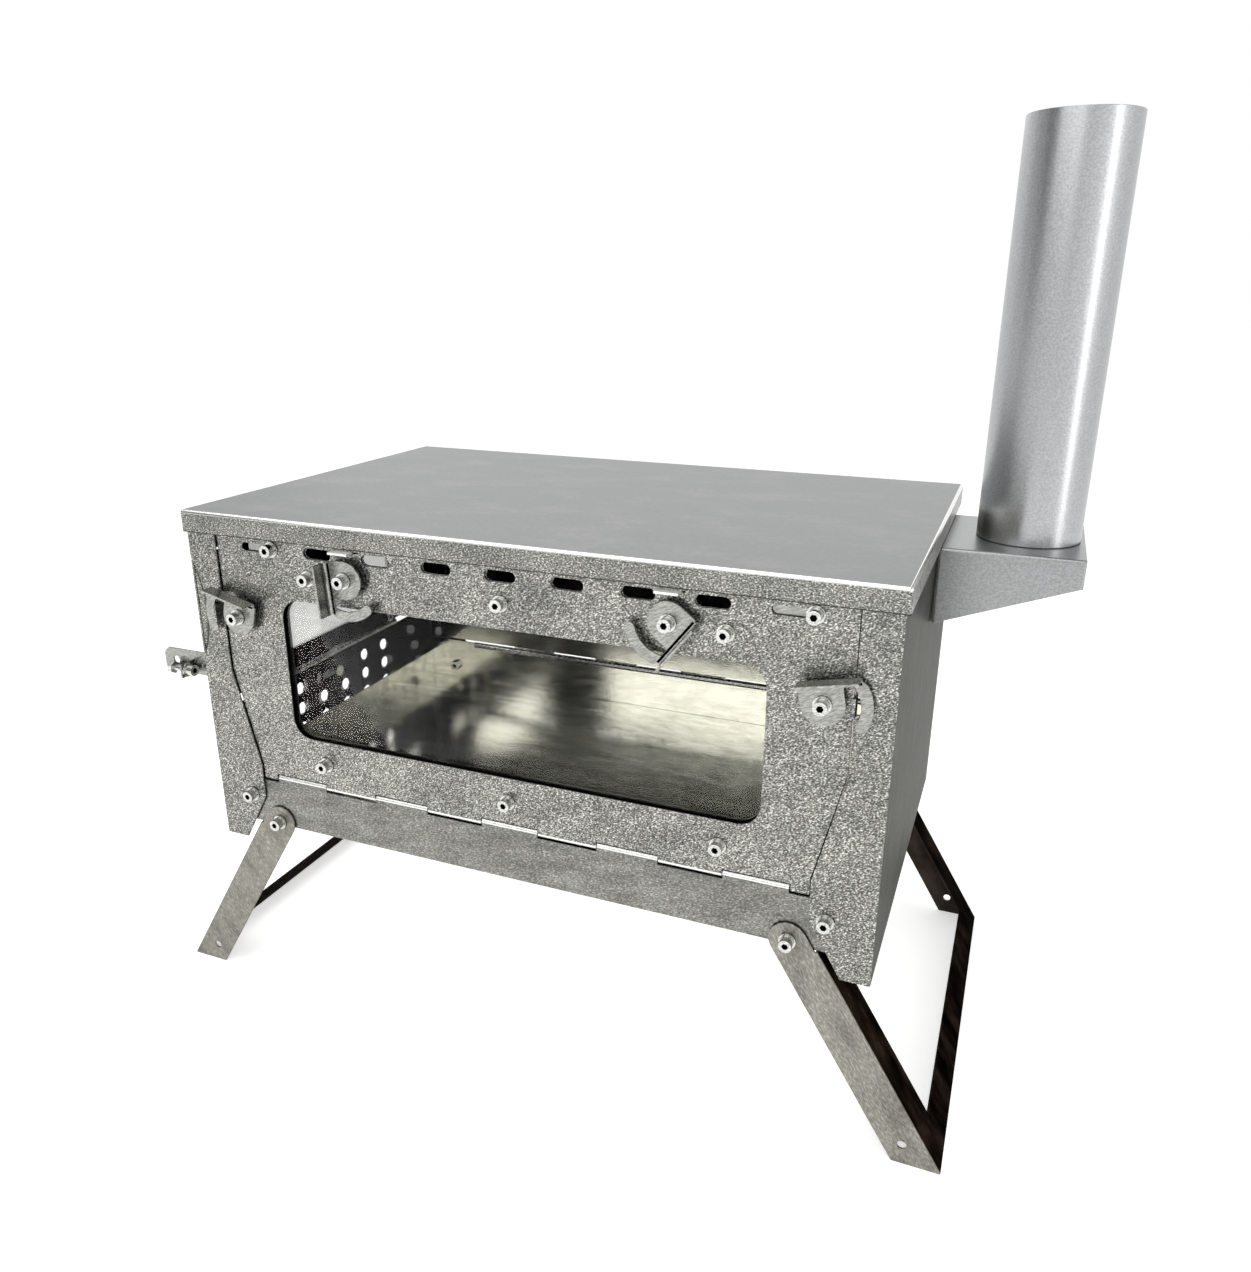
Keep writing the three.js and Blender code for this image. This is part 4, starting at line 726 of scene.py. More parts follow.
class STOVE_OT_folded_sheets(Operator):
    """Round the bends and sheared edges of every folded sheet"""

    bl_idname = "tent_stove.folded_sheets"
    bl_label = "Folded sheets"

    def execute(self, context):
        sizes = context.scene.stove_sheet
        for node, bend_axes in SHEETS.items():
            radius = sizes.wide_bend if node in WIDE_BENDS else sizes.bend
            mesh, built = opened(node)
            low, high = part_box(node)
            if node == "lid":  # its latch tabs stand out in front of the folded rim
                low.y = min(vert.co.y for vert in built.verts if high.z - vert.co.z < FLUSH)
            weights = built.edges.layers.float.new("bevel_weight_edge")
            for edge in built.edges:
                if len(edge.link_faces) == 2 and edge.calc_face_angle(0) >= SHARP:
                    bent = is_bend(edge, bend_axes, low, high)
                    edge[weights] = 1.0 if bent else sizes.edge / radius
            built.to_mesh(mesh)
            built.free()
            obj = new_object(node + "_sheet", mesh)
            rounding = bevel(obj, radius, 4 if node in WIDE_BENDS else 2)
            rounding.use_clamp_overlap = False
            rounding.harden_normals = False
            applied(obj)
            dress(obj, [node])
        return {"FINISHED"}


# ------------------------------------------------------------------ front panel and its frame


def rounded(x0, z0, x1, z1, radius, steps=14):
    """A rectangle with round corners."""
    points = []
    for x, z, turn in ((x1, z0, -1), (x1, z1, 0), (x0, z1, 1), (x0, z0, 2)):
        cx = x - radius if x == x1 else x + radius
        cz = z - radius if z == z1 else z + radius
        points += arc(cx, cz, radius, turn * QUARTER, (turn + 1) * QUARTER, steps)
    return points


def slot(cx, cz, length, height):
    end = (length - height) / 2
    return [*arc(cx + end, cz, height / 2, -QUARTER, QUARTER, 14),
            *arc(cx - end, cz, height / 2, QUARTER, 3 * QUARTER, 14)]


def hole(cx, cz, radius):
    return arc(cx, cz, radius, 0, 2 * math.pi, 24)[:-1]


def node_centres(nodes):
    """Middles of nodes as (x, z) from the middle of the firebox."""
    return [((low.x + high.x) / 2 - MIDDLE.x, (low.z + high.z) / 2)
            for low, high in (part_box(node) for node in nodes)]


WINDOW_SCREWS = [node for node in BODIES["front_door"] if node.startswith("window_screw")]
LATCH_SCREWS = [node for node in BODIES["front_door"] if node.startswith("latch_screw")]
LATCH_X, LATCH_Z = node_centres(["latch_screw_top_right"])[0]


def window(sizes):
    half = sizes.window_width / 2
    return rounded(-half, sizes.window_bottom, half, sizes.window_top, sizes.corner)


def front_plate(sizes, knuckles):
    """Outline and holes of the front panel in XZ: tapered sides, hinge tabs and keeper notches."""
    wide, top = PANEL_HIGH.x - MIDDLE.x, PANEL_HIGH.z
    axis = (FRONT_PIN_LOW.z + FRONT_PIN_HIGH.z) / 2
    end = (FRONT_PIN_HIGH.x - FRONT_PIN_LOW.x) / 2
    clear = end + knuckles.gap
    bottom = axis + knuckles.above
    ear = axis - knuckles.ear
    taper = axis + sizes.taper_start
    notch_floor = top - sizes.notch_depth
    inner, outer = abs(LATCH_X) - sizes.notch_half, abs(LATCH_X) + sizes.notch_half
    right = [(clear, ear), (sizes.narrow, ear), (sizes.narrow, taper),
             (wide, taper + sizes.taper_height), (wide, top),
             (outer, top), (outer, notch_floor), (inner, notch_floor), (inner, top)]
    left = [(-x, z) for x, z in reversed(right)]
    pitch = 2 * end / knuckles.count
    tabs = [(-clear, bottom)]
    for index in range(1, knuckles.count, 2):
        x0 = -end + index * pitch + knuckles.gap / 2
        x1 = x0 + pitch - knuckles.gap
        tabs += [(x0, bottom), (x0, axis), (x1, axis), (x1, bottom)]
    tabs.append((clear, bottom))
    slot_z = top - sizes.slot_drop
    holes = [window(sizes)]
    for index in range(sizes.slots):
        at = (index - (sizes.slots - 1) / 2) * sizes.slot_pitch
        holes.append(slot(at, slot_z, sizes.slot_length, sizes.slot_height))
    for side in (-1, 1):
        holes.append(slot(side * sizes.guide_place, slot_z, sizes.guide_length, 2 * sizes.hole_radius))
    holes += [hole(x, z, sizes.hole_radius) for x, z in node_centres(WINDOW_SCREWS + LATCH_SCREWS)]
    return [*right, *left, *tabs], holes


def frame_plate(sizes):
    """Outline and holes of the retaining frame, notched round the nuts of the top latches."""
    low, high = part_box("window_frame")
    outline = rounded(low.x - MIDDLE.x, low.z, high.x - MIDDLE.x, high.z, sizes.corner)
    room = sizes.nut_room
    notches = []
    for x in (LATCH_X, -LATCH_X):
        notches += [(x + room, high.z), (x + room, LATCH_Z - room),
                    (x - room, LATCH_Z - room), (x - room, high.z)]
    upper_right_done = len(outline) // 2
    outline[upper_right_done:upper_right_done] = notches
    holes = [hole(x, z, sizes.hole_radius) for x, z in node_centres(WINDOW_SCREWS)]
    return outline, [window(sizes), *holes]


class STOVE_OT_front_panel(Operator):
    """Front panel with its window, air slots and hinge tabs, and the frame that holds the glass"""

    bl_idname = "tent_stove.front_panel"
    bl_label = "Front panel"

    def execute(self, context):
        sizes = context.scene.stove_panel
        sheet = context.scene.stove_sheet
        panel = front_plate(sizes, context.scene.stove_knuckle)
        for node, shape in (("front_panel", panel), ("window_frame", frame_plate(sizes))):
            obj = plate(node + "_plate", *shape, sheet.thickness, sheet.edge)
            obj.data.transform(Matrix.Rotation(QUARTER, 4, "X"))
            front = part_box(node)[0].y
            obj.data.transform(Matrix.Translation((MIDDLE.x, front + sheet.thickness / 2, 0)))
            dress(obj, [node])
        return {"FINISHED"}


# ------------------------------------------------------------------ thumb scoop

SCOOP_SHEET = 0.0004
SCOOP_LIFT = 0.0001  # off the wall's own surface


class STOVE_OT_thumb_scoop(Operator):
    """Pressed hollow for a thumb beside the left latch, which fills the arc that the flange leaves"""

    bl_idname = "tent_stove.thumb_scoop"
    bl_label = "Thumb scoop"

    def execute(self, context):
        sizes = context.scene.stove_scoop
        steps, across = 36, 8
        latch_z = node_centres(["latch_screw_side_left"])[0][1]
        corner = MIDDLE - Vector((HALF_WIDTH, HALF_DEPTH, 0))
        radius = sizes.half_length ** 2 / (2 * sizes.reach) + sizes.reach / 2
        built = bmesh.new()
        front, back = [], []
        for step in range(steps + 1):
            height = sizes.half_length * (2 * step / steps - 1)
            width = max(math.sqrt(max(radius ** 2 - height ** 2, 0)) - radius + sizes.reach, 0)
            front.append([])
            back.append([])
            for part in range(across + 1):
                share = part / across
                deep = sizes.depth * math.sin(math.pi * share) * math.sqrt(width / sizes.reach)
                place = corner + Vector((SCOOP_LIFT + width * share, SCOOP_LIFT + deep, latch_z + height))
                front[-1].append(built.verts.new(place))
                back[-1].append(built.verts.new(place + Vector((0, SCOOP_SHEET, 0))))
        for at in range(steps):
            for rows in (front, back):
                for part in range(across):
                    built.faces.new((rows[at][part], rows[at][part + 1],
                                     rows[at + 1][part + 1], rows[at + 1][part]))
            for part in (0, across):
                built.faces.new((front[at][part], front[at + 1][part], back[at + 1][part], back[at][part]))
        for at in (0, steps):
            for part in range(across):
                built.faces.new((front[at][part], front[at][part + 1], back[at][part + 1], back[at][part]))
        obj = closed(built, "thumb_scoop")
        obj.data.materials.append(finish("front_panel"))
        shaded(obj)
        ride(obj, "left_wall")
        return {"FINISHED"}


# ------------------------------------------------------------------ what geometry nodes grow


def points_tree(name, sizes):
    """A geometry nodes tree that grows a mesh on points; returns it with its inputs."""
    tree = bpy.data.node_groups.new(name, "GeometryNodeTree")
    tree.interface.new_socket("Geometry", in_out="INPUT", socket_type="NodeSocketGeometry")
    for size in sizes:
        tree.interface.new_socket(size, in_out="INPUT", socket_type="NodeSocketFloat")
    tree.interface.new_socket("Material", in_out="INPUT", socket_type="NodeSocketMaterial")
    tree.interface.new_socket("Geometry", in_out="OUTPUT", socket_type="NodeSocketGeometry")
    return tree, add(tree, "NodeGroupInput").outputs


def joined(tree, *pieces):
    """Several pieces as one geometry, in their order."""
    join = add(tree, "GeometryNodeJoinGeometry")
    for piece in pieces:
        tree.links.new(piece, join.inputs[0])
    return join.outputs[0]


def attribute(tree, name, kind):
    """What each point of the point mesh says under a name."""
    return add(tree, "GeometryNodeInputNamedAttribute", {"Name": name}, data_type=kind).outputs["Attribute"]


def copied(tree, points, piece, scale=(1, 1, 1)):
    """A piece copied on to each point, turned by the attribute turn."""
    turn = attribute(tree, "turn", "FLOAT_VECTOR")
    facing = add(tree, "FunctionNodeEulerToRotation", {"Euler": turn}).outputs[0]
    return add(tree, "GeometryNodeInstanceOnPoints", {
        "Points": points, "Instance": piece, "Rotation": facing, "Scale": scale}).outputs[0]


def carved(tree, solid, tool):
    return add(tree, "GeometryNodeMeshBoolean", {
        "Mesh 1": solid, "Mesh 2": tool}, operation="DIFFERENCE").outputs["Mesh"]


def ended(tree, given, geometry):
    """Makes the copies one plain mesh of the given material, and ends the tree with it."""
    real = add(tree, "GeometryNodeRealizeInstances", {"Geometry": geometry}).outputs[0]
    named = add(tree, "GeometryNodeSetMaterial", {"Geometry": real, "Material": given["Material"]})
    add(tree, "NodeGroupOutput", {"Geometry": named.outputs[0]})
    return tree


def grown(name, tree, values, places, **attributes):
    """An object that a tree grows on points; each attribute has a row for each point."""
    mesh = bpy.data.meshes.new(name)
    mesh.from_pydata(places, [], [])
    for key, rows in attributes.items():
        kind, field = ("FLOAT_VECTOR", "vector") if key == "turn" else ("FLOAT", "value")
        layer = mesh.attributes.new(key, kind, "POINT")
        for item, row in zip(layer.data, rows):
            setattr(item, field, row)
    obj = new_object(name, mesh)
    modifier = obj.modifiers.new("growth", "NODES")
    modifier.node_group = tree
    identifiers = {item.name: item.identifier for item in tree.interface.items_tree
                   if item.item_type == "SOCKET" and item.in_out == "INPUT"}
    for key, value in values.items():
        modifier[identifiers[key]] = value
    return obj


# ------------------------------------------------------------------ hinge knuckles

KNUCKLE_EDGE = 0.00015  # rounding of a knuckle's ends
EDGE_ANGLE = 40  # degrees; the edges of knuckles and screws that are sharper are rounded
ROUND = 32  # sides of a small round piece
THIN = 20  # sides of a thread or a wire
HINGES = {  # pin: the sheets that carry its even and its odd knuckles
    "front_hinge_pin": ("base_pan", "front_panel"),
    "back_hinge_pin": ("base_pan", "back_panel"),
    "side_door_hinge_pin": ("left_wall", "side_door"),
}


def knuckle_tree():
    """Geometry nodes: a rolled hinge knuckle along X on each point, turned by the attribute turn."""
    tree, given = points_tree("knuckles_on_points", ("Radius", "Bore radius", "Length"))
    outside = add(tree, "GeometryNodeMeshCylinder", {
        "Vertices": ROUND, "Radius": given["Radius"], "Depth": given["Length"]}).outputs["Mesh"]
    inside = add(tree, "GeometryNodeMeshCylinder", {
        "Vertices": ROUND // 2, "Radius": given["Bore radius"], "Depth": 1.0}).outputs["Mesh"]
    return ended(tree, given, copied(tree, given["Geometry"], carved(tree, outside, inside)))


class STOVE_OT_knuckles(Operator):
    """Round knuckles of the three piano hinges"""

    bl_idname = "tent_stove.knuckles"
    bl_label = "Hinge knuckles"

    def execute(self, context):
        sizes = context.scene.stove_knuckle
        tree = knuckle_tree()
        for pin, carriers in HINGES.items():
            low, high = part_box(pin)
            axis = 1 if pin.startswith("side") else 0
            knuckles = sizes.door_count if axis else sizes.count
            pitch = (high[axis] - low[axis]) / knuckles
            turn = Euler((QUARTER, 0, 0)) if axis else Euler((0, QUARTER, 0))
            for parity, carrier in enumerate(carriers):
                places = []
                for index in range(parity, knuckles, 2):
                    place = (low + high) / 2
                    place[axis] = low[axis] + (index + 0.5) * pitch
                    places.append(place)
                obj = grown(f"{pin}_{carrier}_knuckles", tree, {
                    "Radius": sizes.outer, "Bore radius": sizes.bore, "Length": pitch - sizes.gap,
                    "Material": finish("knuckles")}, places, turn=[turn] * len(places))
                bevel(obj, KNUCKLE_EDGE, 2, EDGE_ANGLE)
                shaded(applied(obj))
                ride(obj, carrier)
        return {"FINISHED"}


# ------------------------------------------------------------------ screws

WASHER_SEAT = 0.0003  # the gap that the solids keep under a washer
HEAD_STACK = 0.0061  # washer seat to the top of the head, in the solids
SCREW_EDGE = 0.00035  # rounding of heads, washers and nuts
HEXAGON = 6
SPLIT = (0.0100, 0.0005, 0.0030)  # the cut that opens a lock washer
SPLIT_PLACE = (0.0055, 0, WASHER_SEAT + 0.0012)
SPLIT_SLANT = (math.radians(28), 0, 0)
FACE_LIFT = 0.0002  # takes the socket's floor into its mark, and the head's top out of it
TURNS = {  # the way a screw's head faces, as a turn from +Z
    "-Y": Euler((QUARTER, 0, 0)),
    "+Y": Euler((-QUARTER, 0, 0)),
    "-X": Euler((0, -QUARTER, 0)),
    "+X": Euler((0, QUARTER, 0)),
}


def marked_socket(tree, head, radius, floor, top):
    """Gives the faces of the socket the attribute socket, which the finish darkens with painted shade."""
    place = add(tree, "GeometryNodeInputPosition").outputs[0]
    flat = add(tree, "ShaderNodeVectorMath", {0: place, 1: (1, 1, 0)}, operation="MULTIPLY").outputs[0]
    distance = add(tree, "ShaderNodeVectorMath", {0: flat}, operation="LENGTH").outputs["Value"]
    height = add(tree, "ShaderNodeSeparateXYZ", {"Vector": place}).outputs["Z"]
    lifted = maths(tree, "ADD", height, FACE_LIFT)
    inside = maths(tree, "LESS_THAN", distance, radius)
    for test in (maths(tree, "GREATER_THAN", lifted, floor), maths(tree, "LESS_THAN", lifted, top)):
        inside = maths(tree, "MULTIPLY", inside, test)
    return add(tree, "GeometryNodeStoreNamedAttribute", {
        "Geometry": head, "Name": "socket", "Value": inside}, data_type="FLOAT", domain="FACE").outputs[0]


def screw_tree():
    """Geometry nodes: a cap screw, its washers and its nut on each vertex of a point mesh.

    A vertex is the face under the washer. Its attributes are turn, the way the head faces, and
    length, from that face to the end of the nut.
    """
    tree, given = points_tree("screws_on_points", ScrewSizes.__annotations__)

    def drum(part, bottom, sides, height=None):
        """A cylinder standing on a height above the washer face."""
        tall = given[part + "_height"] if height is None else height
        lift = maths(tree, "ADD", maths(tree, "MULTIPLY", tall, 0.5), bottom)
        place = add(tree, "ShaderNodeCombineXYZ", {"Z": lift}).outputs[0]
        body = add(tree, "GeometryNodeMeshCylinder", {
            "Vertices": sides, "Radius": given[part + "_radius"], "Depth": tall}).outputs["Mesh"]
        return add(tree, "GeometryNodeTransform", {"Geometry": body, "Translation": place}).outputs[0]

    washer_top = maths(tree, "ADD", given["washer_height"], WASHER_SEAT)
    lock_top = maths(tree, "ADD", washer_top, given["lock_height"])
    head_top = maths(tree, "ADD", lock_top, given["head_height"])
    socket_floor = maths(tree, "SUBTRACT", head_top, given["socket_depth"])
    socket = drum("socket", socket_floor, HEXAGON, given["head_height"])
    head = marked_socket(tree, carved(tree, drum("head", lock_top, ROUND), socket),
                         given["socket_radius"], socket_floor, head_top)
    split = add(tree, "GeometryNodeMeshCube", {"Size": SPLIT}).outputs["Mesh"]
    split = add(tree, "GeometryNodeTransform", {
        "Geometry": split, "Translation": SPLIT_PLACE, "Rotation": SPLIT_SLANT}).outputs[0]
    lock = carved(tree, drum("lock", washer_top, ROUND), split)
    washer = drum("washer", WASHER_SEAT, ROUND)
    nut = drum("nut", 0.0, HEXAGON)
    shank = drum("shank", -1.0, THIN, 1.0)

    reach = attribute(tree, "length", "FLOAT")
    down = add(tree, "ShaderNodeCombineXYZ", {"Z": maths(tree, "MULTIPLY", reach, -1.0)}).outputs[0]
    stretch = add(tree, "ShaderNodeCombineXYZ", {"X": 1.0, "Y": 1.0, "Z": reach}).outputs[0]
    points = given["Geometry"]
    nuts = add(tree, "GeometryNodeTranslateInstances", {
        "Instances": copied(tree, points, nut), "Translation": down, "Local Space": True}).outputs[0]
    tops = copied(tree, points, joined(tree, head, lock, washer))
    return ended(tree, given, joined(tree, tops, copied(tree, points, shank, stretch), nuts))


def screw_point(node):
    """Where a screw's washer face is, its turn, and how far its nut reaches behind that face."""
    if node.startswith("side_door"):
        facing = "+X" if node == "side_door_knob_screw" else "-X"
    else:
        facing = "+Y" if "_back_" in node else "-Y"
    low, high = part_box(node)
    place = (low + high) / 2
    axis = "XYZ".index(facing[1])
    place[axis] = high[axis] - HEAD_STACK if facing[0] == "+" else low[axis] + HEAD_STACK
    return place, TURNS[facing], high[axis] - low[axis] - HEAD_STACK


class STOVE_OT_screws(Operator):
    """Socket cap screws with split and plain washers and hexagon nuts, one mesh for each body"""

    bl_idname = "tent_stove.screws"
    bl_label = "Screws"

    def execute(self, context):
        sizes = context.scene.stove_screw
        tree = screw_tree()
        values = {key: getattr(sizes, key) for key in ScrewSizes.__annotations__}
        for body, nodes in BODIES.items():
            screws = [node for node in nodes if "screw" in node]
            if screws:
                places, turns, lengths = zip(*(screw_point(node) for node in screws))
                obj = grown(body + "_screws", tree, {**values, "Material": finish(screws[0])},
                            places, turn=turns, length=lengths)
                bevel(obj, SCREW_EDGE, 2, EDGE_ANGLE)
                applied(obj)
                dress(obj, screws)
        return {"FINISHED"}


# ------------------------------------------------------------------ turn latches

LATCHES = {  # turn from the drawn position, anticlockwise as seen from outside, and mirroring
    "latch_top_left": (94, True),
    "latch_top_right": (-128, False),
    "latch_side_left": (-14, True),
    "latch_side_right": (12, False),
    "side_door_latch": (90, False),
}


def latch_shape(name, sizes, sheet):
    """A right-hand latch in XZ with its back on y = 0, its pivot at the origin and its handle on top."""
    inner, outer, corner, tip_turn = sizes.arm_inner, sizes.arm_outer, sizes.corner, sizes.arm_tip
    middle = (outer + inner) / 2
    tip = (middle * math.cos(tip_turn), middle * math.sin(tip_turn))
    bend = 2 * sheet.thickness
    root = sizes.handle_offset - bend
    handle_end = math.sqrt(outer ** 2 - sizes.handle_offset ** 2)
    outline = [
        *arc(0, 0, sizes.plate_radius, math.pi, 2 * math.pi, 28),
        *arc(sizes.plate_radius + corner, sizes.slit_top - corner, corner, math.pi, QUARTER, 4),
        *arc(0, 0, inner, math.asin(sizes.slit_top / inner), tip_turn, 16),
        *arc(*tip, (outer - inner) / 2, tip_turn - math.pi, tip_turn, 12)[1:-1],
        *arc(0, 0, outer, tip_turn, math.asin(sizes.slit_top / outer), 18),
        (handle_end, root), (-sizes.handle_start, root), (-sizes.plate_radius, root - corner),
    ]
    body = plate(name + "_plate", outline, [hole(0, 0, sizes.bore)], sheet.thickness, sheet.edge)
    body.data.transform(Matrix.Rotation(QUARTER, 4, "X"))
    body.data.transform(Matrix.Translation((0, -sheet.thickness / 2, 0)))

    # The handle is bent forward from the plate, so its section is an L with a round corner.
    top = sizes.handle_offset
    foot = root - sizes.handle_lap
    front = -sheet.thickness - sizes.handle_reach
    section = [
        (0, foot), *arc(-bend, top - bend, bend, 0, QUARTER, 8), (front, top),
        (front, top - sheet.thickness),
        *arc(-bend, top - bend, bend - sheet.thickness, QUARTER, 0, 8), (-sheet.thickness, foot),
    ]
    handle = plate(name + "_handle", section, [], handle_end + sizes.handle_start, sheet.edge)
    handle.data.transform(Matrix((  # section (y, z) drawn in XY goes to YZ
        (0, 0, 1, (handle_end - sizes.handle_start) / 2), (1, 0, 0, 0), (0, 1, 0, 0), (0, 0, 0, 1))))
    return join_meshes(name, [body, handle])


class STOVE_OT_latches(Operator):
    """Turn latches: a round-ended plate, a hooked arm and a handle bent forward"""

    bl_idname = "tent_stove.latches"
    bl_label = "Turn latches"

    def execute(self, context):
        for node, (degrees, is_mirrored) in LATCHES.items():
            obj = latch_shape(node + "_bent", context.scene.stove_latch, context.scene.stove_sheet)
            pivot = Vector(PIVOT_OF[BODY_OF[node]])
            outward = Matrix.Identity(4)
            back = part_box(node)[1]
            if node == "side_door_latch":
                pivot.x = back.x
                outward = Matrix.Rotation(-QUARTER, 4, "Z")
            else:
                pivot.y = back.y
            mirror = Matrix.Scale(-1 if is_mirrored else 1, 4, (1, 0, 0))
            turn = Matrix.Rotation(-math.radians(degrees), 4, "Y")
            obj.data.transform(Matrix.Translation(pivot) @ outward @ turn @ mirror)
            merge(obj.data, TOUCHING / 10)
            dress(obj, [node])
        return {"FINISHED"}


# ------------------------------------------------------------------ glass and hinge pins


class STOVE_OT_glass(Operator):
    """Window panes with ground edges"""

    bl_idname = "tent_stove.glass"
    bl_label = "Glass"

    def execute(self, context):
        for node in ("window_glass", "side_door_glass"):
            mesh, built = opened(node)
            built.to_mesh(mesh)
            built.free()
            obj = new_object(node + "_ground", mesh)
            bevel(obj, context.scene.stove_sheet.ground_edge, 3, angle=60)
            applied(obj)
            dress(obj, [node])
        return {"FINISHED"}


class STOVE_OT_hinge_pins(Operator):
    """Round wire pins of the three piano hinges"""

    bl_idname = "tent_stove.hinge_pins"
    bl_label = "Hinge pins"

    def execute(self, context):
        for node in (name for name in BODY_OF if name.endswith("_pin")):
            low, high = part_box(node)
            span = high - low
            lengthwise = max(range(3), key=lambda at: span[at])
            radius = span.z / 2
            half = span[lengthwise] / 2
            soft = radius / 3
            profile = [(0, -half), (radius - soft, -half), (radius, soft - half),
                       (radius, half - soft), (radius - soft, half), (0, half)]
            turn = Matrix.Rotation(QUARTER, 4, "Y" if lengthwise == 0 else "X")
            dress(lathe(node + "_wire", profile, (low + high) / 2, THIN, turn), [node])
        return {"FINISHED"}


# ------------------------------------------------------------------ flue


class STOVE_OT_flue(Operator):
    """Round pipe and collar of the flue"""

    bl_idname = "tent_stove.flue"
    bl_label = "Flue pipe"

    def execute(self, context):
        sizes = context.scene.stove_flue
        wall = sizes.wall
        soft = wall / 4
        centre = (PIPE_LOW + PIPE_HIGH) / 2
        centre.z = 0
        for node in ("chimney_pipe", "flue_collar"):
            low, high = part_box(node)
            outer = (high.x - low.x) / 2
            if node == "chimney_pipe":
                tube = outer
                foot = [(outer - wall, low.z + soft), (outer - wall + soft, low.z),
                        (outer - soft, low.z), (outer, low.z + soft)]
            else:  # the tube stands inside the pipe, on a flat rim
                tube = (PIPE_HIGH.x - PIPE_LOW.x) / 2 - wall - WASHER_SEAT
                foot = [(tube - wall, low.z), (outer, low.z), (outer, low.z + wall), (tube, low.z + wall)]
            rim = [(tube, high.z - soft), (tube - soft, high.z), (tube - wall + soft, high.z),
                   (tube - wall, high.z - soft)]
            dress(lathe(node + "_round", foot + rim, centre, sizes.facets), [node])
        return {"FINISHED"}


# ------------------------------------------------------------------ damper

KNOB_FACETS = 40
SPINDLE = 0.0019  # radius of the knob's spindle
NECK, HOLLOW = 0.55, 0.70  # radii of the knob's neck and of the hollow in its end, by its own
CHAMFER = 0.0006
KNOB_FOOT = 0.0031
KNOB_COLLAR = 0.0080  # from the knob's end back to its spindle
KNOB_GRIP = 0.0044  # from the knob's end back to the start of its grip
SLOPE = 0.0002  # height of a slope between two radii
RIDGES = 4
RIDGE_PITCH = 0.0009
RIDGE_WIDTH = 0.0005
GROOVE = 0.0003


def perforated_tree():
    """Geometry nodes: a rectangular plate with a round hole at each vertex of a point mesh."""
    tree, given = points_tree("perforated_plate", ("Width", "Height", "Thickness", "Hole radius"))
    outline = add(tree, "GeometryNodeCurvePrimitiveQuadrilateral", {
        "Width": given["Width"], "Height": given["Height"]}).outputs[0]
    circle = add(tree, "GeometryNodeCurvePrimitiveCircle", {
        "Resolution": ROUND, "Radius": given["Hole radius"]}).outputs[0]
    holes = add(tree, "GeometryNodeInstanceOnPoints", {
        "Points": given["Geometry"], "Instance": circle}).outputs[0]
    flat_holes = add(tree, "GeometryNodeRealizeInstances", {"Geometry": holes}).outputs[0]
    face = add(tree, "GeometryNodeFillCurve", {"Curve": joined(tree, outline, flat_holes)}).outputs[0]
    raised = add(tree, "GeometryNodeExtrudeMesh", {
        "Mesh": face, "Offset Scale": given["Thickness"], "Individual": False}).outputs[0]
    back = add(tree, "GeometryNodeFlipFaces", {"Mesh": face}).outputs[0]
    whole = add(tree, "GeometryNodeMergeByDistance", {
        "Geometry": joined(tree, raised, back), "Distance": TOUCHING}).outputs[0]
    return ended(tree, given, whole)


def damper_plate(sizes):
    """The sliding plate, drawn in XY with Y up and stood against the left wall."""
    centre = (DAMPER_LOW + DAMPER_HIGH) / 2
    span = DAMPER_HIGH - DAMPER_LOW
    top_row = (KNOB_LOW.z + KNOB_HIGH.z) / 2
    holes = []
    for row in range(sizes.rows):
        for column in range(sizes.columns):
            offset = column - (sizes.columns - 1) / 2
            if row > 0 or abs(offset) > 1:
                holes.append((offset * sizes.column_pitch, top_row - row * sizes.row_pitch - centre.z, 0))
    obj = grown("damper_plate_perforated", perforated_tree(), {
        "Width": span.y, "Height": span.z, "Thickness": span.x,
        "Hole radius": sizes.hole_radius, "Material": finish("damper_plate")}, holes)
    applied(obj)
    obj.data.transform(Matrix((  # width along Y, height along Z, thickness towards -X
        (0, 0, -1, DAMPER_HIGH.x), (1, 0, 0, centre.y), (0, 1, 0, centre.z), (0, 0, 0, 1))))
    merge(obj.data)
    return obj


def knob_profile(radius, height):
    """Foot, spindle, neck and a ridged grip with a shallow hollow in its end."""
    neck = radius * NECK
    shoulder = radius - CHAMFER
    collar = height - KNOB_COLLAR
    grip = height - KNOB_GRIP
    profile = [(0, 0), (neck, 0), (neck, KNOB_FOOT), (SPINDLE, KNOB_FOOT + SLOPE), (SPINDLE, collar),
               (neck, collar + SLOPE), (neck, grip - SLOPE), (shoulder, grip)]
    for ridge in range(RIDGES):
        at = grip + SLOPE + ridge * RIDGE_PITCH
        profile += [(radius, at), (radius, at + RIDGE_WIDTH), (radius - GROOVE, at + RIDGE_WIDTH + SLOPE / 2)]
    return [*profile, (shoulder, height - SLOPE), (radius * HOLLOW, height), (0, height - 2 * SLOPE)]


class STOVE_OT_damper(Operator):
    """Perforated damper plate and its turned knob"""

    bl_idname = "tent_stove.damper"
    bl_label = "Damper"

    def execute(self, context):
        dress(damper_plate(context.scene.stove_damper), ["damper_plate"])
        foot = (KNOB_LOW + KNOB_HIGH) / 2
        foot.x = KNOB_HIGH.x
        profile = knob_profile((KNOB_HIGH.z - KNOB_LOW.z) / 2, KNOB_HIGH.x - KNOB_LOW.x)
        outward = Matrix.Rotation(-QUARTER, 4, "Y")
        dress(lathe("damper_knob_turned", profile, foot, KNOB_FACETS, outward), ["damper_knob"])
        return {"FINISHED"}


# ------------------------------------------------------------------ stage

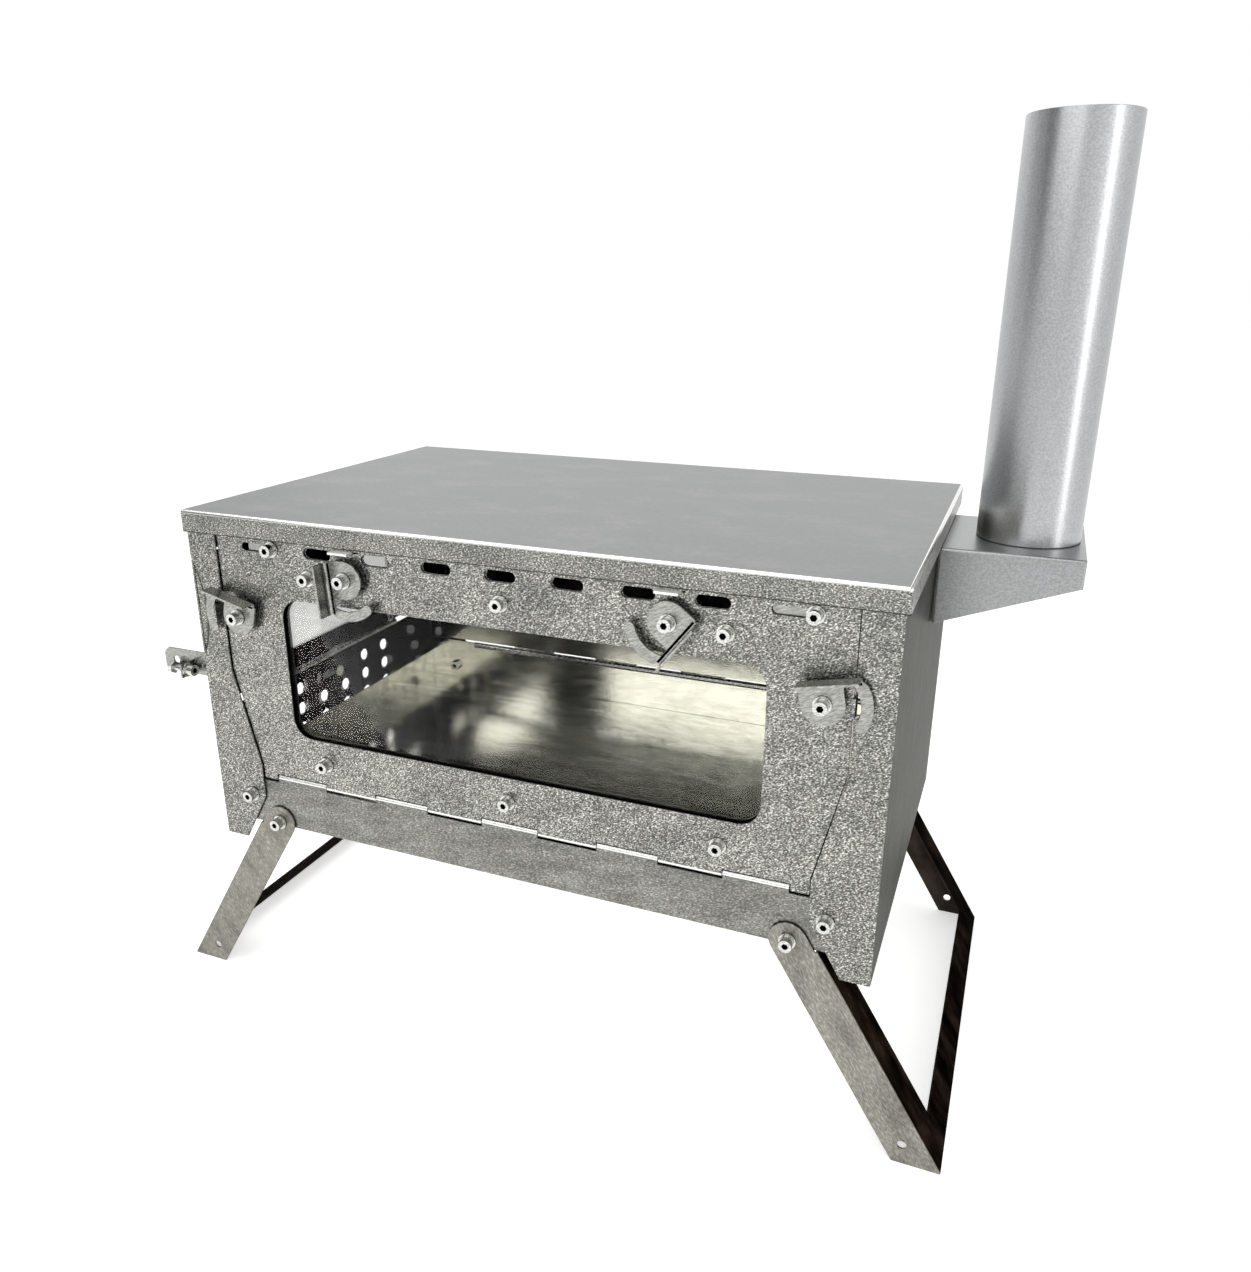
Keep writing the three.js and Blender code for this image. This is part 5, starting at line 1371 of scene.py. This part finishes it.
FLOOR_SIZE = 12
DIM, BRIGHT = 0.15, 1.3  # strength of the room in front of the stove, from the left to the right
BEHIND, OVERHEAD = 1.0, 0.45
LAMPS = {  # place, aim and size, from the middle of the stove on the ground
    "key": ((-0.5, -0.45, 1.6), (-0.5, -0.35, 0.2), (2.0, 1.4)),
    "left": ((-1.6, -0.3, 0.6), (0, 0, 0.3), (0.5, 1.0)),
    "right": ((1.45, -0.45, 0.6), (0.2, 0, 0.35), (0.16, 1.2)),
    "rear": ((-0.4, 1.5, 0.95), (0, 0, 0.25), (1.8, 0.5)),
    "front": ((-0.4, -1.4, 0.9), (0, 0, 0.2), (1.5, 0.6)),
}


def area_lamp(name, place, aim, size, power):
    """A soft rectangular lamp that looks at its aim."""
    light = bpy.data.lights.new(name, "AREA")
    light.shape = "RECTANGLE"
    light.size, light.size_y = size
    light.energy = power
    obj = new_object(name, light)
    obj.location = MIDDLE + Vector(place)
    obj.rotation_euler = (Vector(aim) - Vector(place)).to_track_quat("-Z", "Y").to_euler()


def photo_camera():
    """The camera of the photograph, solved from the lid's corners and the pipe."""
    forward = Vector((
        -math.sin(CAMERA_YAW) * math.cos(CAMERA_PITCH),
        math.cos(CAMERA_YAW) * math.cos(CAMERA_PITCH),
        -math.sin(CAMERA_PITCH)))
    right = Vector((math.cos(CAMERA_YAW), math.sin(CAMERA_YAW), 0))
    level = Matrix((right, right.cross(forward), -forward)).transposed()
    camera = bpy.data.cameras.new("photo_camera")
    camera.sensor_width = SENSOR
    camera.lens = FOCAL_PIXELS * SENSOR / max(PHOTO_WIDTH, PHOTO_HEIGHT)
    camera.clip_start = 0.01
    obj = new_object("photo_camera", camera)
    rolled = level @ Matrix.Rotation(CAMERA_ROLL, 3, "Z")
    obj.matrix_world = Matrix.Translation(MIDDLE + CAMERA_PLACE) @ rolled.to_4x4()
    bpy.context.scene.camera = obj


def studio_world():
    """White to the eye; to metal, a pale room that is bright at the right and dim overhead."""
    world = bpy.data.worlds.new("pale_studio")
    world.use_nodes = True
    tree = world.node_tree
    tree.nodes.clear()
    direction = add(tree, "ShaderNodeTexCoord").outputs["Generated"]
    parts = add(tree, "ShaderNodeSeparateXYZ", {"Vector": direction}).outputs

    def eased(axis, *limits):
        return mapped(tree, parts[axis], *limits, interpolation_type="SMOOTHSTEP")

    sides = blended(tree, eased("Y", -0.3, 0.45), eased("X", -0.9, 0.9, DIM, BRIGHT), BEHIND)
    room = blended(tree, eased("Z", 0.35, 0.65), sides, OVERHEAD)
    strength = blended(tree, add(tree, "ShaderNodeLightPath").outputs["Is Camera Ray"], room, 1.0)
    background = add(tree, "ShaderNodeBackground", {"Color": (1, 1, 1, 1), "Strength": strength})
    add(tree, "ShaderNodeOutputWorld", {"Surface": background.outputs[0]})
    bpy.context.scene.world = world


def pale_floor(glow):
    """A wide floor, white to the eye, to metal and through glass, but for the stove's soft shadow."""
    def paint(tree):
        rays = add(tree, "ShaderNodeLightPath").outputs
        seen = rays["Is Camera Ray"]
        for kind in ("Is Glossy Ray", "Is Transmission Ray"):
            seen = maths(tree, "MAXIMUM", seen, rays[kind])
        return {"Base Color": linear("f4f4f4"), "Roughness": 0.9, "Specular IOR Level": 0.2,
                "Emission Color": (1, 1, 1, 1), "Emission Strength": maths(tree, "MULTIPLY", seen, glow)}

    built = bmesh.new()
    bmesh.ops.create_grid(built, x_segments=1, y_segments=1, size=FLOOR_SIZE)
    obj = object_of(built, "floor")
    obj.data.materials.append(new_material("pale_floor", paint))


class STOVE_OT_stage(Operator):
    """Camera of the photograph, pale floor, studio world and soft lamps"""

    bl_idname = "tent_stove.stage"
    bl_label = "Studio stage"

    def execute(self, context):
        settings = context.scene.stove_stage
        photo_camera()
        studio_world()
        pale_floor(settings.floor_glow)
        for name, (place, aim, size) in LAMPS.items():
            area_lamp(name, place, aim, size, getattr(settings, name + "_power"))
        context.scene.view_settings.view_transform = "Standard"
        return {"FINISHED"}


# ------------------------------------------------------------------ panel and registration

STEPS = (
    STOVE_OT_stage, STOVE_OT_folded_sheets, STOVE_OT_front_panel, STOVE_OT_thumb_scoop,
    STOVE_OT_knuckles, STOVE_OT_screws, STOVE_OT_latches, STOVE_OT_glass,
    STOVE_OT_hinge_pins, STOVE_OT_flue, STOVE_OT_damper,
)
SETTINGS = {
    "stove_sheet": SheetSizes, "stove_screw": ScrewSizes, "stove_latch": LatchSizes,
    "stove_flue": FlueSizes, "stove_panel": PanelSizes, "stove_knuckle": KnuckleSizes,
    "stove_scoop": ScoopSizes, "stove_damper": DamperSizes, "stove_stage": StageSettings,
}


class STOVE_PT_panel(Panel):
    """Lists the settings and the steps that build the stove"""

    bl_label = "Tent Stove"
    bl_idname = "STOVE_PT_panel"
    bl_space_type = "VIEW_3D"
    bl_region_type = "UI"
    bl_category = "Tent Stove"

    def draw(self, context):
        for name in SETTINGS:
            group = getattr(context.scene, name)
            column = self.layout.column(align=True)
            for key in group.__annotations__:
                column.prop(group, key)
        for step in STEPS:
            self.layout.operator(step.bl_idname)


CLASSES = (*SETTINGS.values(), *STEPS, STOVE_PT_panel)


def register():
    for cls in CLASSES:
        bpy.utils.register_class(cls)
    for name, cls in SETTINGS.items():
        setattr(bpy.types.Scene, name, PointerProperty(type=cls))


def unregister():
    for name in SETTINGS:
        delattr(bpy.types.Scene, name)
    for cls in reversed(CLASSES):
        bpy.utils.unregister_class(cls)


def main():
    register()
    for step in STEPS:
        area, name = step.bl_idname.split(".")
        getattr(getattr(bpy.ops, area), name)()


if __name__ == "__main__":
    main()
